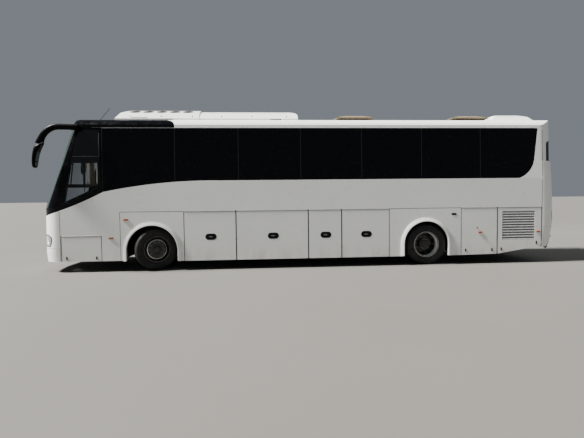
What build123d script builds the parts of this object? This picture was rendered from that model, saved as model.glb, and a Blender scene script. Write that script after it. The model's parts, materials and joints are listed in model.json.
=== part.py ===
"""Twelve-metre two-axle coach bus with luggage bays, in millimetres.

The frame has +Z up with the ground at zero, the front towards -X and the driver's side
(the bus's left) at -Y. The middle of the length and of the width is zero.
"""
from build123d import *
import os
from math import asin, cos, radians, sin, sqrt

# Overall sizes
length = 12000
half_width = 1250
wheelbase = 6290
front_overhang = 2490
wall = 50
glass = 8
seat_gap = 0.3
door_gap = 6

# Body plan: corner radii and the shallow curve across the front
front_sweep_radius = 4000
front_corner_radius = 350
rear_corner_radius = 400

# Roof cross-section
roof_height = 3457
crown_radius = 6500
crown_half_width = 1050
shoulder_radius = 190
shoulder_slope = 60

# Heights along the side
seam_height = 1322
belt_height = 2000
gutter_height = 3172
floor_height = 1330
bay_floor_height = 330
platform_height = 850

# Side doors and flaps
door_thickness = 40
bead_radius = 6
bead_play = 0.4
bead_seat = 4

# Latch pockets in the luggage doors
latch_length = 240
latch_height = 130
latch_depth = 14
latch_z = 742
latch_shift = 18

# Amber side markers
marker_stand = 22
marker_half = 20
marker_bevel = 9

# Front mask: bumper seam, air intake, fog lamps, number plate
groove_width = 8
bumper_seam_z = 535
intake_half = 560
intake_low = 330
intake_high = 480
intake_bars = 3
bar_height = 14
fog_lamp_y = 790
fog_lamp_z = 405
fog_lamp_radius = 58
plate_half = 268
plate_height = 122
front_plate_z = 640
rear_plate_z = 700

# Wheels and axles
tyre_radius = 470
tyre_width = 272
rim_radius = 285
wheel_track = 2130
kingpin_inset = 105
parked_steer_left = 26
parked_steer_right = 23
twin_spacing = 312

# Places worked out from the sizes above
front_x = -length / 2
rear_x = length / 2
front_axle_x = front_x + front_overhang
rear_axle_x = front_axle_x + wheelbase
front_seam_x = front_x + 530
rear_seam_x = rear_x - 450
glass_front_x = front_x + 1470
cap_rear_x = front_x + 3035
inner_y = half_width - wall
tyre_y = wheel_track / 2
kingpin_y = tyre_y - kingpin_inset

# Body sections: height, then how far the front, the rear and the sides stand back
body_sections = [
    # height, front, rear, side
    (200, 25, 200, 0),
    (450, 0, 75, 0),
    (900, 8, 0, 0),
    (1440, 14, 8, 0),
    (2000, 217, 35, 0),
    (2381, 357, 60, 13),
    (2400, 364, 95, 14),
    (2930, 530, 100, 32),
    (3500, 760, 110, 52),
]


def box(x0, x1, y0, y1, z0, z1):
    """Block between two corners."""
    return Pos((x0 + x1) / 2, (y0 + y1) / 2, (z0 + z1) / 2) * Box(x1 - x0, y1 - y0, z1 - z0)


def side_prism(points, y0, y1):
    """Outline of (x, z) points drawn along Y."""
    face = make_face(Polyline(*[(x, y0, z) for x, z in points], close=True))
    return extrude(face, amount=y1 - y0, dir=(0, 1, 0))


def end_prism(edges, x0, x1):
    """Closed outline of edges in the YZ plane drawn along X."""
    return Pos(x0, 0, 0) * extrude(make_face(edges), amount=x1 - x0, dir=(1, 0, 0))


def cylinder(start, direction, radius, span):
    """Round bar from a start point along a direction."""
    plane = Plane(origin=start, z_dir=direction)
    return extrude(plane * Circle(radius), amount=span)


def other_side(shape):
    """The same shape on the other side of the bus."""
    return mirror(shape, about=Plane.XZ)


def solids_of(shape):
    """Every solid in a shape or in a list of shapes."""
    if isinstance(shape, (list, tuple)):
        return [solid for item in shape for solid in solids_of(item)]
    return list(shape.solids())


def save(node, shape):
    """Write one sub-part."""
    export_step(Compound(children=solids_of(shape)), f"parts/{node}.step")


def plan_face(height, front_back, rear_back, side_back, inset):
    """Body outline seen from above, at one height."""
    nose = front_x + front_back + inset
    tail = rear_x - rear_back - inset
    side = half_width - side_back - inset
    sweep = front_sweep_radius - inset
    front_r = front_corner_radius - inset
    rear_r = rear_corner_radius - inset
    corner_y = side - front_r
    centre_x = nose + sweep - sqrt((sweep - front_r) ** 2 - corner_y**2)
    touch = corner_y / (sweep - front_r)
    touch_y = sweep * touch
    touch_x = nose + sweep - sweep * sqrt(1 - touch**2)
    turn = (radians(90) + asin(touch)) / 2
    tail_y = side - rear_r
    bend = rear_r * sin(radians(45))

    def front_corner(hand):
        middle = (centre_x - front_r * cos(turn), hand * (corner_y + front_r * sin(turn)))
        return (touch_x, hand * touch_y), middle, (centre_x, hand * side)

    def rear_corner(hand):
        middle = (tail - rear_r + bend, hand * (tail_y + bend))
        return (tail - rear_r, hand * side), middle, (tail, hand * tail_y)

    left_front, left_rear = front_corner(-1), rear_corner(-1)
    right_front, right_rear = front_corner(1), rear_corner(1)
    edges = [
        ThreePointArc(right_front[0], (nose, 0), left_front[0]),
        ThreePointArc(*left_front),
        Line(left_front[2], left_rear[0]),
        ThreePointArc(*left_rear),
        Line(left_rear[2], right_rear[2]),
        ThreePointArc(*reversed(right_rear)),
        Line(right_rear[0], right_front[2]),
        ThreePointArc(*reversed(right_front)),
    ]
    return Pos(0, 0, height) * make_face(edges)


def roof_outline(inset):
    """Cross-section that cuts the roof: crown, shoulders and the slope down to the sides."""
    top = roof_height - inset
    radius = crown_radius - inset
    shoulder = shoulder_radius - inset
    lean = asin(crown_half_width / crown_radius)
    edge_y = radius * sin(lean)
    edge_z = top - radius * (1 - cos(lean))
    middle_y = edge_y - shoulder * sin(lean)
    middle_z = edge_z - shoulder * cos(lean)
    slope = radians(shoulder_slope)
    half = (lean + slope) / 2
    reach = half_width + 60
    low_y = middle_y + shoulder * sin(slope)
    low_z = middle_z + shoulder * cos(slope)
    out_z = low_z - (reach - low_y) * sin(slope) / cos(slope)

    def at(hand, y, z):
        return (0, hand * y, z)

    arc_y = middle_y + shoulder * sin(half)
    arc_z = middle_z + shoulder * cos(half)
    base_z = 100
    return [
        ThreePointArc(at(-1, edge_y, edge_z), at(1, 0, top), at(1, edge_y, edge_z)),
        ThreePointArc(at(1, edge_y, edge_z), at(1, arc_y, arc_z), at(1, low_y, low_z)),
        Line(at(1, low_y, low_z), at(1, reach, out_z)),
        Line(at(1, reach, out_z), at(1, reach, base_z)),
        Line(at(1, reach, base_z), at(-1, reach, base_z)),
        Line(at(-1, reach, base_z), at(-1, reach, out_z)),
        Line(at(-1, reach, out_z), at(-1, low_y, low_z)),
        ThreePointArc(at(-1, low_y, low_z), at(-1, arc_y, arc_z), at(-1, edge_y, edge_z)),
    ]


def side_outline(inset):
    """Side view that cuts the roof's front slope, its rear rounding and the skirt's lower edge."""
    high = roof_height + 80 - inset
    front_low = (front_x + 560, 3180 - inset)
    front_mid = (front_x + 950, 3355 - inset)
    front_top = (front_x + 1500, high)
    rear_top = (rear_x - 330 - inset, high)
    rear_mid = (rear_x - 170 - inset, 3400 - inset)
    rear_low = (rear_x - 85 - inset, 3180 - inset)
    beyond = 200
    low = 100

    def flat(point):
        return (point[0], -half_width - beyond, point[1])

    edges = [
        ThreePointArc(flat(front_low), flat(front_mid), flat(front_top)),
        Line(flat(front_top), flat(rear_top)),
        ThreePointArc(flat(rear_top), flat(rear_mid), flat(rear_low)),
        Polyline(
            flat(rear_low),
            flat((rear_x + beyond, rear_low[1] - 60)),
            flat((rear_x + beyond, low)),
            flat((front_x - beyond, low)),
            flat((front_x - beyond, front_low[1] - 120)),
            flat(front_low),
        ),
    ]
    return extrude(make_face(edges), amount=2 * (half_width + beyond), dir=(0, 1, 0))


def body_solid(inset):
    """Whole body as a solid, its faces set in by a distance."""
    plans = [plan_face(*row, inset) for row in body_sections]
    hull = loft(plans, ruled=True)
    roof = end_prism(roof_outline(inset), front_x - 200, rear_x + 200)
    return hull & roof & side_outline(inset)


# Belt line and rear sweep of the side glass
belt_start_z = belt_height - 720
belt_kink_z = belt_height - 232
front_belt = (front_x + 273, belt_start_z)
front_belt_mid = (front_x + 900, belt_height - 495)
kink = (glass_front_x, belt_kink_z)
belt_mid = (front_x + 2487, belt_height - 72)
belt_flat = (front_x + 4021, belt_height)
sweep_start = (rear_x - 1014, belt_height)
sweep_mid = (rear_x - 735, belt_height + 205)
sweep_end = (rear_x - 640, belt_height + 480)
sweep_top = (rear_x - 560, gutter_height)

# Window pillars behind the side glass
pillar_pitch = 1402
pillar_count = 6
pillar_width = 80
window_margin = 55
pane_gap = 8
pillar_xs = [cap_rear_x + i * pillar_pitch for i in range(pillar_count)]

# Wheel arches: axle, shift of the arch's middle, radius
arch_top = 1015
arches = [
    # axle x, shift, radius
    (front_axle_x, 10, 562),
    (rear_axle_x, -24, 528),
]
lip_width = 75
lip_stand = 18

# Luggage doors between the axles
luggage_start = front_axle_x + 710
luggage_end = rear_axle_x - 900
luggage_edges = [luggage_start, luggage_start + 1160, luggage_start + 2795, luggage_start + 3563, luggage_end]
service_start = rear_axle_x + 802
service_end = rear_x - 1537
flap_start = front_x + 540
flap_end = front_x + 1410
flap_top = 805

# Front passenger door on the right side
entry_start = front_x + 890
entry_end = front_axle_x - 730
entry_low = 300
entry_top = 2560
entry_gap = 8


def side_at(height):
    """Half width of the body at a height."""
    for low, high in zip(body_sections, body_sections[1:]):
        if height <= high[0]:
            share = (height - low[0]) / (high[0] - low[0])
            return half_width - low[3] - share * (high[3] - low[3])
    return half_width - body_sections[-1][3]


def side_face(edges, y0, y1):
    """Closed outline of edges in the XZ plane, drawn along Y."""
    return Pos(0, y0, 0) * extrude(make_face(edges), amount=y1 - y0, dir=(0, 1, 0))


def path(*points):
    """Straight edges through (x, z) points."""
    return Polyline(*[(x, 0, z) for x, z in points])


def bow(start, middle, end):
    """Arc through three (x, z) points."""
    return ThreePointArc(*[(x, 0, z) for x, z in (start, middle, end)])


full_y = half_width + 100


def front_upper_region():
    """Everything above the belt line and ahead of the side glass."""
    ahead = front_x - 300
    edges = [
        path((ahead, belt_start_z - 166), front_belt),
        bow(front_belt, front_belt_mid, kink),
        path(kink, (glass_front_x, gutter_height), (ahead, gutter_height), (ahead, belt_start_z - 166)),
    ]
    return side_face(edges, -full_y, full_y)


def band_region(start, margin):
    """Side glass band from a start to the rear sweep, its outline pulled in by a margin."""
    def up(point, dx=0.0):
        return (point[0] + dx, point[1] + margin)

    top = gutter_height - 6 - margin
    edges = [
        bow(up(kink), up(belt_mid), up(belt_flat)),
        path(up(belt_flat), up(sweep_start, -margin)),
        bow(up(sweep_start, -margin), up(sweep_mid, -margin), up(sweep_end, -margin)),
        path(up(sweep_end, -margin), (sweep_top[0] - margin, top), (kink[0], top), up(kink)),
    ]
    band = side_face(edges, -full_y, -1000)
    return band & box(start, rear_x, -full_y, -1000, 0, 4000)


def skirt_cut():
    """Space under the body's lower edge."""
    return side_prism(
        [
            (front_x - 200, 245),
            (front_axle_x - 600, 240),
            (front_axle_x + 600, 212),
            (service_start, 212),
            (service_end, 226),
            (service_end + 490, 302),
            (service_end + 850, 366),
            (rear_x + 200, 375),
            (rear_x + 200, 0),
            (front_x - 200, 0),
        ],
        -full_y,
        full_y,
    )


def arch_space(axle_x, shift, radius, y0, y1):
    """Arch opening: a half circle above straight legs."""
    middle = axle_x + shift
    low = -50
    centre = arch_top - radius
    edges = [
        path((middle + radius, centre), (middle + radius, low), (middle - radius, low), (middle - radius, centre)),
        bow((middle - radius, centre), (middle, arch_top), (middle + radius, centre)),
    ]
    return side_face(edges, y0, y1)


def arch_lip(axle_x, shift, radius):
    """Raised rim round an arch on the left side."""
    outer_y = -half_width - lip_stand
    inner_face = -half_width + 10
    middle = axle_x + shift
    wide = radius + lip_width
    centre = arch_top - radius
    edges = [
        path((middle + wide, centre), (middle + wide, 100), (middle - wide, 100), (middle - wide, centre)),
        bow((middle - wide, centre), (middle, centre + wide), (middle + wide, centre)),
    ]
    rim = side_face(edges, outer_y, inner_face)
    return rim - arch_space(axle_x, shift, radius, outer_y - 5, inner_face + 5) - under


def flap_opening(x0, x1, top):
    """Opening in the left side for a flap hinged at its top edge."""
    half_gap = door_gap / 2
    return box(x0 - half_gap, x1 + half_gap, -full_y, -inner_y + 30, -50, top + bead_seat)


def flap_bead(x0, x1, top):
    """Round hinge bead along the wall's edge above a flap."""
    return cylinder((x0 + 20, -half_width, top), (1, 0, 0), bead_radius, x1 - x0 - 40)


def flap_panel(x0, x1, top):
    """Flap that hangs from the bead by the groove along its top edge."""
    half_gap = door_gap / 2
    inner = -half_width + door_thickness
    panel = box(x0 + half_gap, x1 - half_gap, -half_width, inner, 150, top + bead_seat - door_gap)
    groove = cylinder((x0 - 20, -half_width, top), (1, 0, 0), bead_radius + bead_play, x1 - x0 + 40)
    return (panel & body) - under - groove


def latch_pocket(x):
    """Oval pocket for the latch of a luggage door."""
    plane = Plane(origin=(x, -half_width - 5, latch_z), x_dir=(1, 0, 0), z_dir=(0, 1, 0))
    return extrude(plane * SlotOverall(latch_length, latch_height), amount=latch_depth + 5)


marker_rows = [
    # middle x, height, length, carrier on the left, carrier on the right
    (front_x + 1934, 1150, 110, "wall", "wall"),
    (front_x + 1612, 746, 90, "wall", None),
    (rear_x - 1956, 740, 90, "service_door_left", "service_door_right"),
    (rear_x - 536, 735, 90, "grille_door", "wall"),
]


def marker_lens(x, z, span, seat):
    """Low lens on the left side, its back a distance off the wall."""
    lens = box(x - span / 2, x + span / 2, -half_width - marker_stand, -half_width - seat, z - marker_half,
               z + marker_half)
    return chamfer(lens.faces().sort_by(Axis.Y)[0].edges(), marker_bevel)


def body_groove(z):
    """Narrow groove round the body at one height, as deep as the glass."""
    return glass_layer & box(front_x - 100, rear_x + 100, -full_y, full_y, z - groove_width / 2, z + groove_width / 2)


def plate_recess(x0, x1, z):
    """Shallow recess for a number plate in the middle of the front or the rear."""
    return glass_layer & box(x0, x1, -plate_half, plate_half, z - plate_height / 2, z + plate_height / 2)


os.makedirs("parts", exist_ok=True)

# Body shell and the layers cut from it
body = body_solid(0)
cavity = body_solid(wall)
shell = body - cavity
glass_back = body_solid(glass)
glass_seat = body_solid(glass + seat_gap)
glass_layer = body - glass_back
under = skirt_cut()
front_upper = front_upper_region()
below_gutter = box(front_x - 300, rear_x + 300, -full_y, full_y, -100, gutter_height)
above_gutter = box(front_x - 300, rear_x + 300, -full_y, full_y, gutter_height + seat_gap, 4000)
behind_seam = box(rear_seam_x + seat_gap, rear_x + 300, -full_y, full_y, -100, 4000)

# Windscreen outline in side view: its rear edge follows the raked pillar
screen_low = belt_height - 570
screen_high = gutter_height - 22
screen_rake = 0.3667
screen_foot_x = front_x + 255


def screen_region(margin):
    """Windscreen area, pulled in by a margin on every side."""
    low = screen_low + margin
    high = screen_high - margin
    foot = screen_foot_x - margin
    head = foot + (high - low) * screen_rake
    return side_prism([(front_x - 200, low), (foot, low), (head, high), (front_x - 200, high)], -full_y, full_y)


screen_frame = 60
windscreen = glass_layer & screen_region(0)
screen_recess = screen_region(0) - glass_seat

# Driver's window in the left side, two openings with a transom between
transom_low = belt_height + 505
transom_high = belt_height + 585
driver_pane = [(front_x + 985, 3125), (front_x + 805, 2470), (front_x + 600, 1480), (front_x + 1375, 1835),
               (front_x + 1410, 1900), (front_x + 1410, 3125)]
driver_low = [(front_x + 830, transom_low), (front_x + 655, 1560), (front_x + 1320, 1865), (front_x + 1365, 1930),
              (front_x + 1365, transom_low)]
driver_high = [(front_x + 1015, 3080), (front_x + 870, transom_high), (front_x + 1365, transom_high),
               (front_x + 1365, 3080)]
driver_prism = side_prism(driver_pane, -full_y, -900)
driver_window = glass_layer & driver_prism
driver_cuts = side_prism(driver_low, -full_y, -900) + side_prism(driver_high, -full_y, -900)

entry_opening = box(entry_start, entry_end, 900, full_y, -50, entry_top)

front_frame = (shell & front_upper) - screen_recess - screen_region(screen_frame)
front_frame = front_frame - (driver_prism - glass_seat) - driver_cuts - entry_opening
front_frame = front_frame & box(front_x - 300, glass_front_x - seat_gap, -full_y, full_y, 0, gutter_height)

# Front mask and its headlamps
lamp_low = 590
lamp_high = 830
lamp_x = front_x + 325
lamp_inner_y = 640
lamp_brow = 110
lamp_chin = 50
lamp_slant = 62
mask_box = box(front_x - 300, front_seam_x - seat_gap, -full_y, full_y, 0, belt_height)
front_mask = ((shell - front_upper) & mask_box) - under


def lamp_space(grow):
    """Space of one left lamp in the front corner, its outboard end slanted above and below."""
    outline = [
        (front_x - 100, lamp_high + grow), (lamp_x - lamp_brow + grow, lamp_high + grow),
        (lamp_x + grow, lamp_high - lamp_slant), (lamp_x - 15 + grow, lamp_low + lamp_slant),
        (lamp_x - lamp_chin + grow, lamp_low - grow), (front_x - 100, lamp_low - grow),
    ]
    return side_prism(outline, -full_y, -lamp_inner_y + grow)


lamp_left = shell & lamp_space(0)
headlamps = [lamp_left, other_side(lamp_left)]
front_mask = front_mask - lamp_space(seat_gap) - other_side(lamp_space(seat_gap)) - body_groove(bumper_seam_z)
front_mask = front_mask - plate_recess(front_x - 100, front_x + 100, front_plate_z)
front_mask = front_mask - box(front_x - 100, front_x + 200, -intake_half, intake_half, intake_low, intake_high)
bar_pitch = (intake_high - intake_low) / (intake_bars + 1)
for i in range(intake_bars):
    bar_z = intake_low + (i + 1) * bar_pitch
    front_mask = front_mask + (shell & box(front_x - 100, front_x + 200, -intake_half - 5, intake_half + 5,
                                           bar_z - bar_height / 2, bar_z + bar_height / 2))
for hand in (-1, 1):
    front_mask = front_mask - cylinder((front_x - 50, hand * fog_lamp_y, fog_lamp_z), (1, 0, 0), fog_lamp_radius, 155)

# Side walls
wall_box = box(front_seam_x, rear_seam_x, -full_y, -900, 0, gutter_height)
wall_blank = ((shell & wall_box) - front_upper) - under


def side_wall(glass_start):
    """Left wall with its arches, and with windows and the glass seat behind a start."""
    wall = wall_blank - (band_region(glass_start, 0) - glass_seat)
    field = band_region(glass_start, window_margin)
    pillar_edges = [glass_start + 10 - pillar_width / 2] + pillar_xs + [rear_x]
    for ahead, behind in zip(pillar_edges, pillar_edges[1:]):
        slot = box(ahead + pillar_width / 2, behind - pillar_width / 2, -full_y, -900, 0, 4000)
        wall = wall - (field & slot)
    for row in arches:
        wall = wall - arch_space(*row, -full_y, -900) + arch_lip(*row)
    return wall


right_glass_start = entry_end + 60
wall_left = side_wall(glass_front_x)
wall_right = other_side(side_wall(right_glass_start)) - entry_opening

left_flaps = [
    # name, front edge, rear edge, hinge height
    ("luggage_door_left_1", luggage_edges[0], luggage_edges[1], seam_height),
    ("luggage_door_left_2", luggage_edges[1], luggage_edges[2], seam_height),
    ("luggage_door_left_3", luggage_edges[2], luggage_edges[3], seam_height),
    ("luggage_door_left_4", luggage_edges[3], luggage_edges[4], seam_height),
    ("service_door_left", service_start, service_end, seam_height),
    ("grille_door", service_end, rear_seam_x, seam_height),
    ("service_flap_left", flap_start, flap_end, flap_top),
]
right_flaps = [
    ("luggage_door_right_1", luggage_edges[1], luggage_edges[2], seam_height),
    ("luggage_door_right_2", luggage_edges[2], luggage_edges[3], seam_height),
    ("luggage_door_right_3", luggage_edges[3], luggage_edges[4], seam_height),
    ("service_door_right", service_start, service_end, seam_height),
]
for name, x0, x1, top in left_flaps:
    wall_left = wall_left - flap_opening(x0, x1, top) + flap_bead(x0, x1, top)
for name, x0, x1, top in right_flaps:
    wall_right = wall_right - other_side(flap_opening(x0, x1, top)) + other_side(flap_bead(x0, x1, top))

# Grille louvres in the rear left flap
louvre_count = 11
grille_x0 = service_end + 121
grille_x1 = rear_seam_x - 168
grille_z0 = 553
grille_z1 = 1225
louvre_pitch = (grille_z1 - grille_z0) / louvre_count


def louvred(panel):
    """Cut the grille opening and fit a slanted blade per pitch."""
    y0 = -half_width
    y1 = y0 + door_thickness
    result = panel - box(grille_x0, grille_x1, y0 - 5, y1 + 5, grille_z0, grille_z1)
    for i in range(louvre_count):
        z = grille_z0 + i * louvre_pitch
        blade = [(y0 + 2, z + 4), (y0 + 2, z + 20), (y1 - 6, z + 56), (y1 - 6, z + 40)]
        face = make_face(Polyline(*[(grille_x0 - 3, y, h) for y, h in blade], close=True))
        result = result + extrude(face, amount=grille_x1 - grille_x0 + 6, dir=(1, 0, 0))
    return result


def finished_flap(name, x0, x1, top):
    """Flap of the left side with its latch pocket, louvres and marker lens."""
    panel = flap_panel(x0, x1, top)
    if name.startswith("luggage"):
        panel = panel - latch_pocket((x0 + x1) / 2 + latch_shift)
    if name == "grille_door":
        panel = louvred(panel)
    for x, z, span, *carriers in marker_rows:
        if name in carriers:
            panel = panel + marker_lens(x, z, span, -bead_seat)
    return panel


for row in left_flaps:
    save(row[0], finished_flap(*row))
for row in right_flaps:
    save(row[0], other_side(finished_flap(*row)))

# Side glass, one pane between each pair of pillars
pane_edges = [glass_front_x] + pillar_xs + [rear_x]


def panes(start):
    """Left side panes behind a start."""
    strip = glass_layer & band_region(start, 0)
    result = []
    for ahead, behind in zip(pane_edges, pane_edges[1:]):
        result += solids_of(strip & box(ahead + pane_gap / 2, behind - pane_gap / 2, -full_y, -900, 0, 4000))
    return result


save("side_glass_left", panes(glass_front_x))
save("side_glass_right", [other_side(pane) for pane in panes(right_glass_start)])
save("side_wall_left", wall_left)
save("side_wall_right", wall_right)
save("front_frame", front_frame)
save("windscreen", windscreen)
save("driver_window", driver_window)
save("front_mask", front_mask)
save("headlamps", headlamps)

# Roof: black front cap with a rounded rear corner, white rear part
cap_edges = [
    path((front_x - 200, 4000), (front_x - 200, 0), (cap_rear_x, 0), (cap_rear_x, 3280)),
    bow((cap_rear_x, 3280), (cap_rear_x - 45, 3375), (cap_rear_x - 170, 3420)),
    path((cap_rear_x - 170, 3420), (cap_rear_x - 170, 4000), (front_x - 200, 4000)),
]
cap_prism = side_face(cap_edges, -full_y, full_y)
roof = shell & above_gutter
roof_front_cap = roof & cap_prism
roof_shell = roof - cap_prism - box(rear_seam_x, rear_x + 300, -full_y, full_y, 0, 4000)
antenna_foot = (front_x + 1095, -400, roof_height - 64)
antenna_rake = (288, 0, 346)
antenna_length = 470
roof_front_cap = roof_front_cap + cylinder(antenna_foot, (0, 0, 1), 24, 30)
roof_front_cap = roof_front_cap + cylinder(antenna_foot, antenna_rake, 5, antenna_length)
save("roof_front_cap", roof_front_cap)
save("roof_shell", roof_shell)

# Rear panel with its window, lamps and the engine hatch
hatch_half = 820
hatch_low = 840
hatch_high = 1700
hatch_bead_x = rear_x - 8 - 27 * (hatch_high - 1440) / 560
rear_window_low = 2404
rear_window_high = 2985


def rear_window_region(margin):
    """Rear window outline across the back."""
    low = rear_window_low + margin
    high = rear_window_high - margin
    wide = 1300 - margin
    points = [(-wide, low), (wide, low), (wide, high - 230), (wide - 330, high), (330 - wide, high),
              (-wide, high - 230)]
    face = make_face(Polyline(*[(rear_x - 330 + margin, y, z) for y, z in points], close=True))
    return extrude(face, amount=500, dir=(1, 0, 0))


rear_panel = (shell & behind_seam) - under
rear_panel = rear_panel - (rear_window_region(0) - glass_seat) - rear_window_region(60)
rear_window = glass_layer & rear_window_region(0)
hatch_space = box(rear_x - 200, rear_x + 100, -hatch_half, hatch_half, hatch_low, hatch_high)
hatch_bead = cylinder((hatch_bead_x, 30 - hatch_half, hatch_high), (0, 1, 0), bead_radius, 2 * hatch_half - 60)
hatch_groove = cylinder((hatch_bead_x, -hatch_half - 10, hatch_high), (0, 1, 0), bead_radius + bead_play,
                        2 * hatch_half + 20)
hatch_body = box(rear_x - 200, rear_x + 100, door_gap - hatch_half, hatch_half - door_gap, hatch_low + door_gap,
                 hatch_high + bead_seat - door_gap)
engine_hatch = (shell & hatch_body) - hatch_groove
rear_panel = rear_panel - box(rear_x - 200, rear_x + 100, -hatch_half, hatch_half, hatch_low,
                              hatch_high + bead_seat) + hatch_bead
rear_panel = rear_panel - body_groove(hatch_low) - plate_recess(rear_x - 200, rear_x + 100, rear_plate_z)
vent_half = 620
vent_low = 960
vent_pitch = 46
vent_height = 20
vent_count = 6
for i in range(vent_count):
    vent_z = vent_low + i * vent_pitch
    engine_hatch = engine_hatch - box(rear_x - 200, rear_x + 100, -vent_half, vent_half, vent_z,
                                      vent_z + vent_height)
tail_low = 1130
tail_high = 1335


def tail_space(grow):
    """Space of the left tail lamp in the rear corner."""
    return box(rear_x - 118 - grow, rear_x + 50, -full_y, -hatch_half - 40 + grow, tail_low - grow, tail_high + grow)


tail_left = shell & tail_space(0)
rear_panel = rear_panel - tail_space(seat_gap) - other_side(tail_space(seat_gap))
save("tail_lamps", [tail_left, other_side(tail_left)])
save("rear_panel", rear_panel)
save("rear_window", rear_window)
save("engine_hatch", engine_hatch)

# Roof pods and hatches
pod_sink = 90


def pod(x0, x1, half, top, side_points, shoulder, brow):
    """Moulded roof cover: side outline crossed with an end outline, seated on the roof."""
    low = roof_height - pod_sink
    side = side_prism([(x0, low)] + side_points + [(x1, low)], -half, half)
    edge = top - shoulder
    ends = [(-half, low), (-half, low + 70), (-half + brow / 4, edge), (-half + brow, top), (half - brow, top),
            (half - brow / 4, edge), (half, low + 70), (half, low)]
    face = make_face(Polyline(*[(x0 - 10, y, z) for y, z in ends], close=True))
    return (side & extrude(face, amount=x1 - x0 + 20, dir=(1, 0, 0))) - body


cooler_x0 = front_x + 1610
cooler_x1 = front_x + 5820
cooler_joint = front_x + 3540
cooler_top = 3675
cooler_step = 28
cooler_half = 880
cooler_brow = 380
cooler_fall = 100
fan_count = 5
fan_start = 445
fan_pitch = 302
fan_radius = 130
fan_inset = 235
fan_depth = 45
front_cover = pod(
    cooler_x0, cooler_joint, cooler_half, cooler_top,
    [(cooler_x0 + 25, 3420), (cooler_x0 + 185, cooler_top - 55), (cooler_x0 + 240, cooler_top - 15),
     (cooler_x0 + 310, cooler_top), (cooler_joint, cooler_top)],
    cooler_fall, cooler_brow,
)
rear_top = cooler_top - cooler_step
rear_cover = pod(
    cooler_joint, cooler_x1, cooler_half - 8, rear_top,
    [(cooler_joint, rear_top), (cooler_x1 - 160, rear_top), (cooler_x1 - 50, rear_top - 45),
     (cooler_x1 - 10, rear_top - 130)],
    cooler_fall - 10, cooler_brow,
)
cooler = front_cover + rear_cover
fan_lean = Vector(0, cooler_fall, cooler_brow * 3 / 4).normalized()
for i in range(fan_count):
    fan_x = cooler_x0 + fan_start + i * fan_pitch
    for hand in (-1, 1):
        lean = Vector(0, hand * fan_lean.Y, fan_lean.Z)
        fan_z = cooler_top - (cooler_brow - fan_inset) * fan_lean.Y / fan_lean.Z
        seat = Vector(fan_x, hand * (cooler_half - fan_inset), fan_z) - lean * fan_depth
        cooler = cooler - cylinder(tuple(seat), tuple(lean), fan_radius, 2 * fan_depth)
save("air_conditioner", cooler)

pod_x0 = rear_x - 1430
pod_x1 = rear_x - 250
pod_top = 3610
rear_pod = pod(
    pod_x0, pod_x1, 620, pod_top,
    [(pod_x0 + 60, 3440), (pod_x0 + 230, pod_top - 15), (pod_x0 + 330, pod_top), (pod_x1 - 300, pod_top),
     (pod_x1 - 190, pod_top - 25), (pod_x1 - 50, 3450)],
    70, 260,
)
save("roof_pod_rear", rear_pod)

hatch_length = 980
hatch_width = 820
hatch_xs = [front_x + 6770, front_x + 9700]
roof_hatches = []
for x0 in hatch_xs:
    x1 = x0 + hatch_length
    half = hatch_width / 2
    kerb = box(x0 + 60, x1 - 60, 60 - half, half - 60, roof_height - 60, roof_height + 35)
    kerb = kerb - box(x0 + 100, x1 - 100, 100 - half, half - 100, roof_height - 100, roof_height + 60)
    kerb = kerb - body
    lid_z = roof_height + 75
    lid_side = side_prism([(x0, lid_z), (x0 + 60, lid_z + 30), (x0 + 260, lid_z + 80), (x1 - 260, lid_z + 80),
                           (x1 - 60, lid_z + 30), (x1, lid_z)], -half, half)
    lid_ends = make_face(Polyline(*[(x0, y, z) for y, z in ((-half, lid_z), (-half, lid_z + 25),
                                    (-half + 150, lid_z + 80), (half - 150, lid_z + 80), (half, lid_z + 25),
                                    (half, lid_z))], close=True))
    lid = lid_side & extrude(lid_ends, amount=hatch_length, dir=(1, 0, 0))
    for x in (x0 + 80, x1 - 80):
        for y in (80 - half, half - 80):
            lid = lid + cylinder((x, y, roof_height + 30), (0, 0, 1), 14, 60)
    roof_hatches.append(kerb + lid)
save("roof_hatches", roof_hatches)

# Mirrors on curved arms ahead of the windscreen corners
mirror_y = half_width + 50
arm_half = 50
head_half = 115
head_corner = 70


def mirror_point(x, z):
    """Point of the mirror's side view, measured from the front and from the gutter."""
    return (front_x + x, gutter_height + z)


def mirror_side():
    """Left mirror: root on the roof corner, curved arm and hanging head."""
    root_low, root_high = mirror_point(1010, -66), mirror_point(1010, 63)
    arm = [
        path(root_low, mirror_point(500, -60)),
        bow(mirror_point(500, -60), mirror_point(372, -148), mirror_point(308, -322)),
        path(mirror_point(308, -322), mirror_point(132, -342)),
        bow(mirror_point(132, -342), mirror_point(268, -90), mirror_point(541, 79)),
        path(mirror_point(541, 79), root_high, root_low),
    ]
    head = [
        path(mirror_point(306, -320), mirror_point(126, -345)),
        bow(mirror_point(126, -345), mirror_point(37, -610), mirror_point(60, -860)),
        bow(mirror_point(60, -860), mirror_point(85, -884), mirror_point(112, -866)),
        bow(mirror_point(112, -866), mirror_point(168, -600), mirror_point(306, -320)),
    ]
    arm_solid = side_face(arm, -mirror_y - arm_half, -mirror_y + arm_half)
    head_plane = Plane(origin=(front_x, -mirror_y, gutter_height - 604), x_dir=(0, 1, 0), z_dir=(1, 0, 0))
    head_front = extrude(head_plane * RectangleRounded(2 * head_half, 572, head_corner), amount=400)
    head_solid = side_face(head, -mirror_y - head_half, -mirror_y + head_half) & head_front
    root = box(front_x + 800, front_x + 1010, -mirror_y + arm_half - 5, -900, gutter_height - 55, gutter_height + 50)
    return arm_solid + head_solid + (root - body)


mirror_left = mirror_side()
save("mirrors", [mirror_left, other_side(mirror_left)])

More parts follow.
